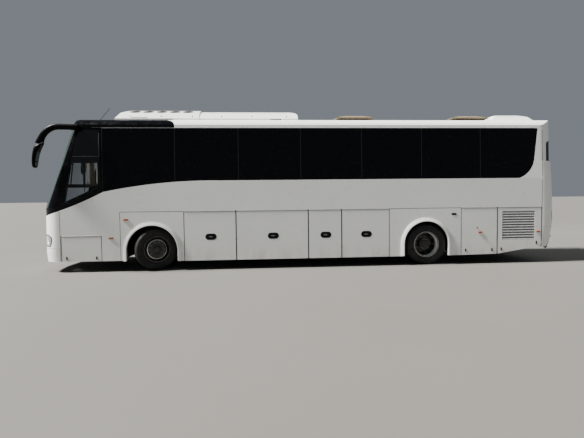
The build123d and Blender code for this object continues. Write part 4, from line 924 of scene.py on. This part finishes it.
def dressHeadlamps():
    lowZ, highZ = lamp["z"]
    z = (lowZ + highZ) / 2

    def bowls(shape, side):
        for y, radius in lamp["bowls"]:
            face = onFront("headlamps", side * y, z)[0]
            addLamp(shape, face - forward * 0.03, (-1, side * 0.12, 0), radius, 0.06)
        face, normal = roundCorner(side, lamp["cornerTurn"], z)
        addLamp(shape, face - normal * 0.02, normal, 0.078, 0.04)

    makePiece("headlamp_reflectors", chrome, bowls, hands=both)

    def bulbs(shape, side):
        for y, radius in lamp["bowls"]:
            face = onFront("headlamps", side * y, z)[0]
            addTurned(shape, lamp["bulb"], facing(face - forward * 0.065, forward), 16)

    makePiece("headlamp_bulbs", lampGlass, bulbs, hands=both, slot="lamp_glass")

    def indicators(shape, side):
        face, normal = roundCorner(side, lamp["cornerTurn"], z)
        addTurned(shape, lamp["indicator"], facing(face - normal * 0.052, normal), 20)

    makePiece("indicator_bulbs", amberLens, indicators, hands=both, slot="amber_lens")

    def shrouds(shape, side):  # dark bowl behind the reflectors, round the corner
        spots = [onFront("headlamps", side * y, z) for y in (0.655, 0.7, 0.75)]
        spots += [roundCorner(side, turn, z) for turn in range(6, lamp["turnEnd"], 6)]
        loops = []
        for place, normal in spots:
            back = place - normal * 0.088
            loops.append([Vector((back.x - normal.x * deep, back.y - normal.y * deep, h)) for deep, h in
                          ((0, lowZ + 0.004), (0, highZ - 0.004), (0.004, highZ - 0.004), (0.004, lowZ + 0.004))])
        addLoops(shape, loops)

    makePiece("headlamp_shrouds", blackPlastic, shrouds, hands=both)

    def gaskets(shape, side):  # black rubber along the lens edge
        edge = [onFront(lampNodes, side * y, highZ + 0.002) for y in (0.64, 0.7)]
        edge += [roundCorner(side, turn, highZ + 0.002) for turn in range(0, 60, 6)]
        for start, end in zip(lamp["corner"], lamp["corner"][1:]):
            edge += [roundCorner(side, *point) for point in between(start, end, 3)]
        edge += [roundCorner(side, turn, lowZ - 0.002) for turn in range(60, -1, -6)]
        edge += [onFront(lampNodes, side * y, lowZ - 0.002) for y in (0.7, 0.64)]
        edge += [onFront(lampNodes, side * 0.639, h) for h in evenly(lowZ + 0.04, lowZ + 0.2, 3)]
        addRibbon(shape, edge, 0.026, 0.004)

    makePiece("headlamp_gaskets", sealRubber, gaskets, hands=both)
    print("headlamps dressed")


def addNumberPlate(shape, faceAt, z, way, lift):  # blank, with a pressed rim
    rings = (((0.52, 0.112, 0.01), 0), ((0.52, 0.112, 0.01), 0.0035), ((0.508, 0.1, 0.008), 0.0035),
             ((0.506, 0.098, 0.008), 0.0022))
    addLoops(shape, [[Vector((faceAt(y, z + h) + way * (out + lift), y, z + h)) for y, h in roundedBox(*size)]
                     for size, out in rings])


wiper = {"pivotY": (0.62, -0.24), "pivotZ": 1.395, "middle": -0.4836, "bladeHalf": 0.42, "z": 1.5, "arm": 0.0075}
intake = {"half": 0.56, "bars": 57, "z": (0.325, 0.485), "crossBars": 9, "crossPitch": 0.018}


def dressFront():
    def fogLamps(shape, side):
        place = onFront("front_mask", side * 0.79, 0.405)[0]
        addLamp(shape, place + forward * 0.012, (-1, side * 0.1, 0), 0.052, 0.01)
        addTurned(shape, ringSection(0.05, 0.057, 0, 0.022), facing(place + forward * 0.001, forward), 36)

    makePiece("fog_lamps", chrome, fogLamps, hands=both)

    def intakeScreen(shape):
        z0, z1 = intake["z"]
        for i, y in enumerate(evenly(-intake["half"], intake["half"], intake["bars"] - 1)):
            x = onFront("front_mask", y * 0.98, 0.52)[0].x + 0.046
            addBox(shape, (x, y - 0.0012, z0), (x + 0.002, y + 0.0012, z1))
            for k in range(intake["crossBars"] if i < intake["bars"] - 1 else 0):
                z = z0 + 0.008 + k * intake["crossPitch"]
                addBox(shape, (x + 0.002, y - 0.001, z - 0.0012), (x + 0.004, y + 0.0215, z + 0.0012))

    makePiece("intake_screen", blackPlastic, intakeScreen)
    faceX = onFront("front_mask", 0, 0.64)[0].x
    makePiece("front_plate", plateEnamel, lambda shape: addNumberPlate(shape, lambda y, z: faceX, 0.64, -1, 0.002))

    def arms(shape):
        for pivot in wiper["pivotY"]:
            base, out = onFront("front_mask front_frame", pivot, wiper["pivotZ"])
            foot = base + out * 0.003
            addTurned(shape, [(0, -0.014), (0.024, -0.014), (0.024, 0.01), (0.016, 0.018), (0, 0.018)],
                      facing(foot, forward), 20)
            middle, out = onFront("windscreen", pivot + wiper["middle"], wiper["z"] + 0.045)
            addRod(shape, [foot + forward * 0.006, foot + (middle + out * 0.045 - foot) * 0.5 + out * 0.006,
                           middle + out * 0.032], wiper["arm"])

    makePiece("wiper_arms", blackPlastic, arms)

    def blades(shape):
        half, z = wiper["bladeHalf"], wiper["z"] + 0.03
        for pivot in wiper["pivotY"]:
            y0 = pivot + wiper["middle"]
            spots = [onFront("windscreen", max(-1, min(1, y)), h)
                     for y, h in between((y0 - half, z), (y0 + half, z + 0.02), 12)]
            addRibbon(shape, [(place + out * 0.001, out) for place, out in spots], 0.01, 0.022)

    makePiece("wiper_blades", sealRubber, blades)

    def darkBand(shape):  # printed inside the windscreen's edge: along the top and the bottom
        ys = evenly(-1.05, 1.05, 24)
        for z0, z1 in ((1.452, 1.53), (2.93, 3.13)):
            for y0, y1 in zip(ys, ys[1:]):
                spots = [onFront("windscreen", y, z) for y, z in ((y0, z0), (y1, z0), (y1, z1), (y0, z1))]
                corners = [place - out * 0.0095 for place, out in spots]
                addLoops(shape, [corners, [corner - forward * 0.002 for corner in corners]])

    makePiece("windscreen_band", blackGloss, darkBand, slot="black_gloss")
    print("front dressed")


# Mirrors: arm swept along its curve, slim head turned towards the driver
mirror = {
    "y": 1.3, "turn": 5,
    # middle x and z of the arm, half its height, half its width
    "arm": [(-4.992, 3.172, 0.062, 0.04), (-5.2, 3.176, 0.062, 0.044), (-5.4, 3.181, 0.064, 0.046),
            (-5.5, 3.172, 0.066, 0.047), (-5.585, 3.135, 0.066, 0.048), (-5.66, 3.08, 0.066, 0.048),
            (-5.722, 3.01, 0.067, 0.048), (-5.768, 2.93, 0.072, 0.048), (-5.796, 2.86, 0.082, 0.047),
            (-5.81, 2.812, 0.092, 0.046)],
    # height, middle x, half depth, half width of the head, slant of the ring
    "head": [
        (2.792, -5.812, 0.072, 0.06, 0.4), (2.786, -5.814, 0.09, 0.086, 0.4), (2.768, -5.82, 0.092, 0.098, 0.38),
        (2.72, -5.842, 0.08, 0.106, 0.25), (2.66, -5.866, 0.068, 0.11, 0.1), (2.6, -5.884, 0.06, 0.111, 0),
        (2.5, -5.903, 0.054, 0.11, 0), (2.42, -5.911, 0.05, 0.106, 0), (2.35, -5.916, 0.044, 0.094, 0),
        (2.315, -5.918, 0.034, 0.074, 0), (2.3, -5.918, 0.018, 0.04, 0)],
    "glass": [(2.44, 2.64), (2.345, 2.42)],
}


def headSpot(side, x, z, along, across, slant=0):  # place on a mirror head, from its middle
    spot = Matrix.Rotation(math.radians(side * -mirror["turn"]), 4, "Z") @ Vector((along, across, 0))
    return Vector((x + spot.x, side * mirror["y"] + spot.y, z + slant * spot.x))


def headRing(side, z, x, depth, wide, slant):  # rounded section of the head, flat on the glass side
    return [headSpot(side, x, z, min(a, 0.72) * depth, b * wide, slant) for a, b in squareRound(24, 0.75)]


def headAt(z):  # middle x, half depth and half width of the mirror head at a height
    for (z1, *high), (z0, *low) in zip(mirror["head"], mirror["head"][1:]):
        if z0 <= z <= z1:
            share = (z - z0) / (z1 - z0)
            return [a + (b - a) * share for a, b in zip(low, high)][:3]


def dressMirrors():
    def housings(shape, side):
        loops, rows = [], mirror["arm"]
        for i, (x, z, tall, wide) in enumerate(rows):
            (x0, z0), (x1, z1) = rows[max(i - 1, 0)][:2], rows[min(i + 1, len(rows) - 1)][:2]
            across = Vector((z1 - z0, 0, x0 - x1)).normalized()
            loops.append([Vector((x, side * mirror["y"], z)) + across * a * tall + Vector((0, b * wide, 0))
                          for a, b in squareRound(20, 0.8)])
        addLoops(shape, loops)
        addLoops(shape, [headRing(side, *row) for row in mirror["head"]])
        inner, outer = side * 1.18, side * (mirror["y"] - 0.03)
        addBox(shape, (-5.19, min(inner, outer), 3.122), (-4.995, max(inner, outer), 3.218))

    shells = makePiece("mirror_housings", mirrorShell, housings, hands=both, bevel=0.004, slot="black_gloss", angle=50)
    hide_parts("mirrors")

    def glasses(shape, side):
        for z0, z1 in mirror["glass"]:
            loops = []
            for z in evenly(z0, z1, 8):
                x, depth, wide = headAt(z)
                loops.append([headSpot(side, x, z, share * depth + out, across * wide) for share, out, across in
                              ((0.7, 0, -0.8), (0.7, 0, 0.8), (0.72, 0.0012, 0.78), (0.72, 0.0012, -0.78))])
            addLoops(shape, loops)

    makePiece("mirror_glasses", mirrorGlass, glasses, hands=both)

    def headHighlights(shape, side):  # pale strip between the arm and the head: painted highlight for the sunlit top of the black head
        ends = [(-5.906, 2.752), (-5.722, 2.832)]
        addLoops(shape, [[Vector((x, side * mirror["y"] + dy, z + dz)) for dy, dz in
                          ((-0.052, 0), (0.052, 0), (0.052, 0.009), (-0.052, 0.009))] for x, z in ends])

    makePiece("mirror_head_highlights", alloyTrim, headHighlights, hands=both)
    print("mirrors dressed")


# Rear: plate, lamps' surrounds, handles, reflectors
tail = {"reflectors": 6, "reflectorY": 0.9, "reflectorPitch": 0.032, "reflectorZ": 0.6, "handle": (0.7, 0.92),
        "rimY": 0.865, "endX": 5.875, "endZ": 0.985,
        "exhaust": [(5.2, -0.8, 0.47), (5.45, -0.93, 0.46), (5.62, -1.02, 0.43), (5.74, -1.05, 0.385),
                    (5.8, -1.06, 0.345)]}


def dressRear():
    makePiece("rear_plate", plateEnamel,
              lambda shape: addNumberPlate(shape, lambda y, z: onRear("rear_panel", y, z)[0].x, 0.7, 1, 0.001))

    def reflectors(shape, side):
        z = tail["reflectorZ"]
        for i in range(tail["reflectors"]):
            y = side * (tail["reflectorY"] + i * tail["reflectorPitch"])
            x = onRear("rear_panel", y, z)[0].x
            addBox(shape, (x - 0.004, y - 0.0155, z - 0.025), (x + 0.008, y + 0.0155, z + 0.025))

    makePiece("rear_reflectors", redLens, reflectors, hands=both, bevel=0.001, slot="red_lens")

    def handles(shape, side):  # flush pulls in the hatch's lower edge
        y, z = side * tail["handle"][0], tail["handle"][1]
        x = onRear("engine_hatch", y, z)[0].x
        for outline, rise in ((oval(0.12, 0.048), 0.0002), (roundedBox(0.06, 0.026, 0.006), 0.0003)):
            addLoops(shape, [[Vector((x + out, y + a, z + b)) for a, b in outline] for out in (-0.003, rise)])

    makePiece("hatch_handles", blackPlastic, handles, "engine_hatch", both)

    def lampRims(shape, side):  # thin black surround on the rear faces of the tail lamps
        low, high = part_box("tail_lamps")
        for z in (low.z - 0.004, high.z + 0.004):
            row = [onRear("rear_panel", side * (tail["rimY"] + i * 0.036), z) for i in range(8)]
            addRibbon(shape, row, 0.007, 0.003)

    makePiece("tail_lamp_rims", sealRubber, lampRims, hands=both)

    def lampEnds(shape, side):  # the lamps' red ends that wrap round the corners
        for i in range(6):
            x = tail["endX"] + 0.009 * i
            addRibbon(shape, [onSide("rear_panel tail_lamps", x, tail["endZ"] + 0.03 * k, side) for k in range(9)],
                      0.02, 0.004)

    makePiece("tail_lamp_ends", redLens, lampEnds, hands=both)
    makePiece("exhaust_pipe", chassisSteel, lambda shape: addRod(shape, tail["exhaust"], 0.042, 16))
    print("rear dressed")


# Roof: white corners of the black cap, fans of the cooler, its joint, slots of the pods
capCorner = {"long": 0.165, "high": 0.125, "stand": 0.0015}
fans = {"firstX": -3.945, "pitch": 0.302, "count": 5, "y": 0.645, "z": 3.624, "lean": (100, 285),
        "rings": (0.033, 0.057, 0.081, 0.105, 0.127), "wire": 0.0022}
coolerSide = {"seamX": -2.452, "slots": [(-3.98, -3.62, 3.454), (-0.835, -0.574, 3.42)], "boltZ": 3.49,
              "bolts": [-4.02, -3.32, -2.62, -1.95, -1.25, -0.45]}


def dressCapCorner():  # the white roof wraps round the black cap's rear upper corners
    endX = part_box("roof_front_cap")[1].x

    def wrap(shape, side):
        rows = []
        for i in range(33):
            turn = math.radians(70 - i / 2)
            way = Vector((0, side * math.sin(turn), math.cos(turn)))
            rows.append(hit("roof_front_cap", Vector((endX - 0.03, 0, 2.75)) + way * 2.5, -way))
        foot = rows[-1][0].z - 0.005 - capCorner["high"]
        loops = []
        for place, normal in rows:
            share = min(1, (place.z - foot) / capCorner["high"])
            if share >= 0:
                start = endX - capCorner["long"] * (1 - math.sqrt(1 - share * share)) - 0.001
                outer = place + normal * capCorner["stand"]
                loops.append([Vector((x, spot.y, spot.z)) for x, spot in
                              ((start, place), (endX, place), (endX, outer), (start, outer))])
        addLoops(shape, loops)

    makePiece("cap_corner", whitePaint, wrap, hands=both, slot="white_paint", angle=50)


def dressFans():
    places = []
    for i in range(fans["count"]):
        for side in both:
            way = Vector((0, side * fans["lean"][0], fans["lean"][1])).normalized()
            middle = Vector((fans["firstX"] + i * fans["pitch"], side * fans["y"], fans["z"]))
            places.append(facing(middle - way * 0.02, way, -forward))

    def guards(shape):
        wire = fans["wire"]
        for place in places:
            for radius in fans["rings"]:
                addTurned(shape, ringSection(radius - wire, radius + wire, 0.018, 0.022), place)
            for k in range(8):
                spoke = place @ Matrix.Rotation(2 * pi * k / 8, 4, "Y")
                addBox(shape, (-wire, 0.016, 0.01), (wire, 0.02, 0.127), spoke)

    makePiece("fan_guards", blackPlastic, guards)

    def rotors(shape):
        for place in places:
            addTurned(shape, [(0, 0.002), (0.032, 0.002), (0.032, 0.013), (0, 0.015)], place, 20)
            for k in range(6):
                spin = Matrix.Rotation(2 * pi * k / 6, 4, "Y") @ Matrix.Rotation(0.45, 4, "Z")
                addBox(shape, (-0.024, 0.005, 0.028), (0.024, 0.0075, 0.118), place @ spin)

    makePiece("fan_rotors", blackPlastic, rotors)


def dressRoof():
    dressCapCorner()
    dressFans()
    seam = [hit("air_conditioner", (coolerSide["seamX"], y, 4.5), -upward) for y in evenly(-0.8, 0.8, 24)]
    makePiece("cooler_seam", sealRubber, lambda shape: addRibbon(shape, seam, 0.01, 0.002))

    def bolts(shape, side):
        for x in coolerSide["bolts"]:
            place, out = hit("air_conditioner", (x, side * 1.4, coolerSide["boltZ"]), (0, -side, 0))
            addTurned(shape, [(0, -0.002), (0.017, -0.002), (0.017, 0.003), (0.009, 0.007), (0, 0.008)],
                      facing(place, out, -forward), 16)

    makePiece("cooler_bolts", chassisSteel, bolts, hands=both)

    # dark boxes over the slots of the pods and the cooler: painted shade inside the openings
    def slots(shape, side):
        rows = [("roof_pod_rear", 4.86 + i * 0.1, 3.545, (0.034, 0.004, 0.006)) for i in range(6)]
        for x0, x1, z in coolerSide["slots"]:
            count = round((x1 - x0) / 0.045)
            rows += [("air_conditioner", x0 + (i + 0.5) * (x1 - x0) / count, z, (0.016, 0.003, 0.014))
                     for i in range(count)]
        for nodeName, x, z, half in rows:
            middle = Vector((x, hit(nodeName, (x, side * 1.4, z), (0, -side, 0))[0].y, z))
            addBox(shape, middle - Vector(half), middle + Vector(half))

    makePiece("roof_slots", sealRubber, slots, hands=both)
    print("roof dressed")


# Seats: one cushion and one back are padded by a cloth simulation, then copied along the rows
seats = {"cushion": (0.44, 0.47, 0.115), "back": (0.44, 0.64, 0.1), "head": (0.28, 0.17, 0.075), "voxel": 0.014,
         "pressure": 4, "frames": 20, "cap": 0.016, "rows": 12, "pitch": 0.78, "pairHalf": 0.225, "fill": 0.7,
         "squareness": 4.5, "channel": 0.02, "channelDepth": 0.007, "thinned": 0.16}


def paddedForm(name, size, channels):  # boxy form with rounded sides and crowned faces
    shape = bmesh.new()
    bmesh.ops.create_cube(shape, size=2)
    bmesh.ops.subdivide_edges(shape, edges=shape.edges, cuts=11, use_grid_fill=True)
    power = seats["squareness"]
    for vertex in shape.verts:
        grow = sum(abs(part) ** power for part in vertex.co) ** (-1 / power)
        a, b, c = (part * grow for part in vertex.co)
        crowned = (1 - 0.03 * (1 - b * b), 1 - 0.03 * (1 - a * a), 1 - 0.035 * (1 - a * a) - 0.02 * (1 - b * b))
        vertex.co = [part * whole / 2 * share for part, whole, share in zip((a, b, c), size, crowned)]
    mesh = bpy.data.meshes.new(name)
    shape.to_mesh(mesh)
    shape.free()
    piece = bpy.data.objects.new(name, mesh)
    bpy.context.collection.objects.link(piece)
    inflate(piece)
    wide = seats["channel"]
    for vertex in piece.data.vertices:  # sewn channels across the form
        for at in channels:
            gap = vertex.co.y - at * size[1]
            if abs(gap) < wide and abs(vertex.co.z) > size[2] * 0.2:
                vertex.co.z -= math.copysign(seats["channelDepth"] * (1 - abs(gap) / wide), vertex.co.z)
    result = piece.data.copy()
    bpy.data.objects.remove(piece)
    return result


def inflate(piece):
    remesh = piece.modifiers.new("voxels", "REMESH")
    remesh.mode = "VOXEL"
    remesh.voxel_size = seats["voxel"]
    applyModifiers(piece)
    start = [v.co.copy() for v in piece.data.vertices]
    cloth = piece.modifiers.new("padding", "CLOTH")
    cloth.settings.use_pressure = True
    cloth.settings.uniform_pressure_force = seats["pressure"]
    cloth.settings.effector_weights.gravity = 0
    for step in range(1, seats["frames"] + 1):
        bpy.context.scene.frame_set(step)
        bpy.context.view_layer.update()
    applyModifiers(piece)
    for vertex, before in zip(piece.data.vertices, start):
        shift = vertex.co - before
        if shift.length > seats["cap"]:
            vertex.co = before + shift.normalized() * seats["cap"]
    bpy.context.scene.frame_set(1)


def applyModifiers(piece):
    graph = bpy.context.evaluated_depsgraph_get()
    mesh = bpy.data.meshes.new_from_object(piece.evaluated_get(graph))
    piece.modifiers.clear()
    piece.data = mesh


def thinned(mesh, share):
    piece = bpy.data.objects.new("thinned", mesh.copy())
    bpy.context.collection.objects.link(piece)
    piece.modifiers.new("thinning", "DECIMATE").ratio = share
    applyModifiers(piece)
    result = piece.data
    bpy.data.objects.remove(piece)
    return result


def joinedCopies(shape, mesh, matrices):
    for matrix in matrices:
        count = len(shape.verts)
        shape.from_mesh(mesh)
        shape.verts.ensure_lookup_table()
        for vertex in shape.verts[count:]:
            vertex.co = matrix @ vertex.co


def seatPlaces(x, y, floor):  # cushion, back and headrest of one seat whose front edge is at x
    places = []
    for along, high, lean, upright in ((0.235, 0.375, 3, 0), (0.485, 0.7, 10, 1), (0.535, 1.035, 10, 1)):
        place = Matrix.Translation((x + along, y, floor + high)) @ Matrix.Rotation(math.radians(lean), 4, "Y")
        place = place @ Matrix.Rotation(-pi / 2, 4, "Z") @ Matrix.Rotation(upright * pi / 2, 4, "X")
        places.append(place)
    return places


def addSeatFrame(shape, x, y, floor, half):
    for x0, x1, wide, low, high in ((0.1, 0.36, 0.03, 0.002, 0.022), (0.14, 0.19, 0.015, 0.02, 0.3),
                                    (0.27, 0.32, 0.015, 0.02, 0.3), (0.04, 0.44, half - 0.02, 0.295, 0.325)):
        addBox(shape, (x + x0, y - wide, floor + low), (x + x1, y + wide, floor + high))


def addArmrest(shape, x, y, floor):
    addRod(shape, [(x + 0.12, y, floor + 0.6), (x + 0.16, y, floor + 0.615), (x + 0.45, y, floor + 0.6)], 0.017, 10)
    addRod(shape, [(x + 0.42, y, floor + 0.36), (x + 0.43, y, floor + 0.6)], 0.012)


def addPadding(name, mesh, matrices):
    piece = makePiece(name, seatFabric, lambda shape: joinedCopies(shape, mesh, matrices), slot="seat_fabric", angle=60)
    return piece


def dressSeats():
    forms = [paddedForm("cushionForm", seats["cushion"], (-0.18, 0.18)),
             paddedForm("backForm", seats["back"], (-0.25, -0.05, 0.15)), paddedForm("headForm", seats["head"], ())]
    small = [thinned(mesh, seats["thinned"]) for mesh in forms]
    low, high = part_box("passenger_seats")
    floor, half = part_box("floor_deck")[1].z, 2 * seats["pairHalf"]
    pairY = high.y - half
    rows = [low.x + i * seats["pitch"] for i in range(seats["rows"])]
    for side, word in sides:
        places = [seatPlaces(x, side * pairY + hand * seats["pairHalf"], floor) for x in rows for hand in both]
        for kind, mesh, matrices in zip(("cushions", "backs", "headrests"), small, zip(*places)):
            addPadding(f"seat_{kind}_{word}", mesh, matrices)

    def legs(shape, side):
        for x in rows:
            addSeatFrame(shape, x, side * pairY, floor, half)
            addArmrest(shape, x, side * (pairY - 0.455), floor)

    makePiece("seat_frames", chassisSteel, legs, hands=both, bevel=0.003)
    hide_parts("passenger_seats")

    low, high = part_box("driver_seat")
    x, y, floor = low.x, (low.y + high.y) / 2, low.z
    wide = Matrix.Diagonal((1.12, 1, 1, 1))
    driver = [addPadding("driver_" + kind, mesh, [matrix @ wide])
              for kind, mesh, matrix in zip(("cushion", "back", "headrest"), forms, seatPlaces(x, y, floor))]
    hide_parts("driver_seat")

    def base(shape):
        addBox(shape, (x + 0.1, y - 0.16, floor + 0.002), (x + 0.4, y + 0.16, floor + 0.04))
        for i in range(5):  # bellows of the suspended seat base
            z, out = floor + 0.05 + i * 0.05, 0.012 * (i % 2)
            addBox(shape, (x + 0.13 - out, y - 0.13 - out, z), (x + 0.37 + out, y + 0.13 + out, z + 0.048))
        addBox(shape, (x + 0.04, y - 0.23, floor + 0.295), (x + 0.44, y + 0.23, floor + 0.325))

    makePiece("driver_seat_base", blackPlastic, base, bevel=0.006)
    makePair("driver_armrest_", blackPlastic, lambda shape, side: addArmrest(shape, x, y + side * 0.262, floor))
    print("seats dressed")


# Curtains behind the driver's side window, on a thin rod
curtains = {"top": 2.455, "low": 1.945, "y": -1.165, "fold": 0.016, "rows": 14, "thick": 0.0012, "rod": (-5.1, -4.62)}


def dressCurtains():
    top, low, y, rows = (curtains[key] for key in ("top", "low", "y", "rows"))

    def hang(name, x0, x1, material, folds):
        columns = folds * 12
        shape = bmesh.new()
        grid = []
        for i in range(columns + 1):
            share = i / columns
            column = []
            for k in range(rows + 1):
                drop = k / rows
                sway = curtains["fold"] * (0.75 + 0.25 * drop) * math.sin(2 * pi * folds * share + 0.4 * drop)
                x = x0 + (x1 - x0) * share + 0.004 * math.sin(5 * drop + 9 * share)
                column.append(shape.verts.new((x, y + sway, top + (low - top) * drop)))
            grid.append(column)
        for first, second in zip(grid, grid[1:]):
            for k in range(rows):
                shape.faces.new((first[k], first[k + 1], second[k + 1], second[k]))
        mesh = bpy.data.meshes.new(name)
        shape.to_mesh(mesh)
        shape.free()
        piece = finishPiece(name, "root", material, mesh, angle=80)
        piece.modifiers.new("cloth", "SOLIDIFY").thickness = curtains["thick"]

    def rod(shape):
        z = top + 0.012
        start, end = curtains["rod"]
        addRod(shape, [(start, y, z), (end, y, z)], 0.006, 10)
        for x in (start + 0.005, end - 0.005):
            addBox(shape, (x - 0.006, -1.195, z - 0.008), (x + 0.006, y + 0.004, z + 0.008))

    makePiece("curtain_rod", bareSteel, rod)
    hang("curtain_white", -4.89, -4.835, whiteCurtain, 2)
    hang("curtain_brown", -4.825, -4.725, brownCurtain, 4)
    hang("curtain_white_rear", -4.69, -4.622, whiteCurtain, 2)
    print("curtains hung")


# Cab: instrument hood, dials, lever, inner mirror, door handle and rails
cab = {"wheelY": -0.65, "hood": (0.3, 0.1), "dials": ((-0.16, 0.055), (0, 0.066), (0.16, 0.055)),
       # section of the hood: back from the dashboard's edge, up, share of its width, share of its height
       "hoodSection": ((0.16, -0.015, 1, 1), (0.012, -0.055, 1.03, 1.12), (0.012, -0.06, 0.96, 1),
                       (0.16, -0.02, 0.94, 0.9)),
       "rack": [(0.7, 2.98), (0.7, 2.93), (1, 2.905), (1.14, 2.92), (1.14, 2.935), (1, 2.92), (0.715, 2.945),
                (0.715, 2.98)], "rackX": (-3.6, 5)}


def dressCab():
    edge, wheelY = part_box("dashboard")[1], cab["wheelY"]

    def hood(shape):
        loops = []
        for i in range(9):
            wide, high = cab["hood"][0] * math.cos(pi * i / 8), cab["hood"][1] * math.sin(pi * i / 8)
            loops.append([Vector((edge.x - back, wheelY + wide * a, edge.z + up + high * b))
                          for back, up, a, b in cab["hoodSection"]])
        addLoops(shape, loops)

    makePiece("instrument_hood", blackPlastic, hood)

    def dials(shape):
        for dy, radius in cab["dials"]:
            place = Matrix.Translation((edge.x - 0.075, wheelY + dy, edge.z - 0.002))
            place = place @ Matrix.Rotation(math.radians(-62), 4, "Y") @ Matrix.Rotation(-pi / 2, 4, "Z")
            addTurned(shape, ringSection(radius - 0.006, radius, 0, 0.01), place)
            for k in range(9):
                spin = Matrix.Rotation(math.radians(-120 + 30 * k), 4, "Y")
                addBox(shape, (-0.0012, 0.001, radius * 0.7), (0.0012, 0.003, radius * 0.86), place @ spin)
            addBox(shape, (-0.001, 0.003, -0.006), (0.001, 0.005, radius * 0.66), place @ Matrix.Rotation(-0.9, 4, "Y"))

    makePiece("dials", greyPlastic, dials)

    def lever(shape):
        addRod(shape, [(-4.93, -0.2, 0.845), (-4.94, -0.2, 1.05), (-4.9, -0.21, 1.28)], 0.01, 10)
        for place, section in (
                ((-4.9, -0.21, 1.275), [(0, 0), (0.016, 0.002), (0.024, 0.022), (0.02, 0.044), (0, 0.052)]),
                ((-4.93, -0.2, 0.852), [(0, 0), (0.055, 0), (0.045, 0.03), (0.022, 0.09), (0, 0.092)])):
            addTurned(shape, section, Matrix.Translation(place) @ Matrix.Rotation(pi / 2, 4, "X"), 20)

    makePiece("gear_lever", blackPlastic, lever)

    def innerMirror(shape):
        place, out = onFront("windscreen", 0, 2.82)
        addRod(shape, [place - out * 0.009, place - out * 0.06 - upward * 0.03], 0.007)
        middle = place - out * 0.075 - upward * 0.055
        addLoops(shape, [[middle + Vector((dx, a * grow, b * grow)) for a, b in roundedBox(0.3, 0.085, 0.03)]
                         for dx, grow in ((-0.012, 0.86), (0, 1), (0.012, 0.97))])

    makePiece("inner_mirror", blackPlastic, innerMirror)

    def rails(shape):  # grab rails by the entry steps
        for x in (-5.06, -4.27):
            addRod(shape, [(x, 0.6, 0.86), (x, 0.6, 1.62), (x, 0.66, 1.7)], 0.016, 12)

    makePiece("entry_rails", alloyTrim, rails)

    def racks(shape, side):  # parcel racks along both sides under the roof
        addLoops(shape, [[Vector((x, side * y, z)) for y, z in cab["rack"]] for x in cab["rackX"]])
        for i in range(12):
            x = -3.5 + i * 0.76
            addRod(shape, [(x, side * 0.72, 2.94), (x, side * 0.72, 3.4)], 0.01)

    makePiece("parcel_racks", greyPlastic, racks, hands=both)
    print("cab dressed")


def dressDoor():
    low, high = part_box("front_door")

    def handle(shape, x=low.x + 0.045, z=1.14):
        y = onSide("front_door", x, z, 1)[0].y
        addPlate(shape, moved(roundedBox(0.05, 0.14, 0.02), x, z), y - 0.001, y + 0.004)
        path = [(x, y + out, z + up) for out, up in ((0, 0.05), (0.022, 0.045), (0.022, -0.045), (0, -0.05))]
        addRod(shape, path, 0.007, 10)

    makePiece("door_handle", blackPlastic, handle, "front_door")

    def seals(shape):  # rubber along both upright edges of the leaf
        for x, probeX in ((low.x - 0.003, low.x + 0.004), (high.x + 0.003, high.x - 0.004)):
            spots = [onSide("front_door", probeX, z, 1) for z in evenly(low.z + 0.01, high.z - 0.01, 11)]
            addRibbon(shape, [(Vector((x, place.y - 0.004, place.z)), out) for place, out in spots], 0.008, 0.004)

    makePiece("door_seals", sealRubber, seals, "front_door")
    print("door dressed")


# Floor and light
studio = {
    "floor": 600, "world": (0.72, 0.79, 0.88), "worldPower": 0.27,
    "sun": {"from": (-0.66, -0.03, 0.75), "energy": 20, "softness": 11, "color": (1, 0.98, 0.95)},
    "aim": (0, 0, 1.5),  # what the fills are turned to
    "fills": {
        "sideFill": ((-1, -19, 7), {"size": 18, "size_y": 6, "energy": 120, "color": (0.97, 1, 0.97)}),
        "rearFill": ((15, 8, 8), {"size": 8, "size_y": 8, "energy": 700, "color": (1, 0.98, 0.95)})},
}


def addLight(name, kind, place, aim, **values):
    light = bpy.data.lights.new(name, kind)
    for key, value in values.items():
        setattr(light, key, value)
    lit = bpy.data.objects.new(name, light)
    lit.location = place
    lit.rotation_euler = Vector(aim).to_track_quat("-Z", "Y").to_euler()
    bpy.context.collection.objects.link(lit)
    return lit


def makeStudio():
    half = studio["floor"] / 2
    mesh = bpy.data.meshes.new("floor")
    mesh.from_pydata([(-half, -half, 0), (half, -half, 0), (half, half, 0), (-half, half, 0)], [], [(0, 1, 2, 3)])
    floor = bpy.data.objects.new("floor", mesh)
    bpy.context.collection.objects.link(floor)
    ground = surface("pale_ground", (0.096, 0.092, 0.083), 0.9)
    blotch(ground, 0.35, 6, 0.35, 0.7, 0.3, (0.083, 0.08, 0.072))
    grain(ground, 30, 4, 0.2, 0.002)
    mesh.materials.append(ground)
    world = bpy.data.worlds.new("studio")
    world.use_nodes = True
    back = world.node_tree.nodes["Background"]
    back.inputs["Color"].default_value = (*studio["world"], 1)
    back.inputs["Strength"].default_value = studio["worldPower"]
    bpy.context.scene.world = world
    sun = studio["sun"]
    addLight("keyLight", "SUN", (0, 0, 0), -Vector(sun["from"]), energy=sun["energy"], color=sun["color"],
             angle=math.radians(sun["softness"]))
    for name, (place, values) in studio["fills"].items():
        fill = addLight(name, "AREA", place, Vector(studio["aim"]) - Vector(place), shape="RECTANGLE", **values)
        fill.visible_glossy = False
    print("studio ready")


for stage in (makeCamera, makeStudio, dressNodes, dressWheels, dressFlaps, dressSeals, dressArches, dressPanes,
              dressSides, dressHeadlamps, dressFront, dressMirrors, dressRear, dressRoof, dressSeats, dressCurtains,
              dressCab, dressDoor):
    stage()
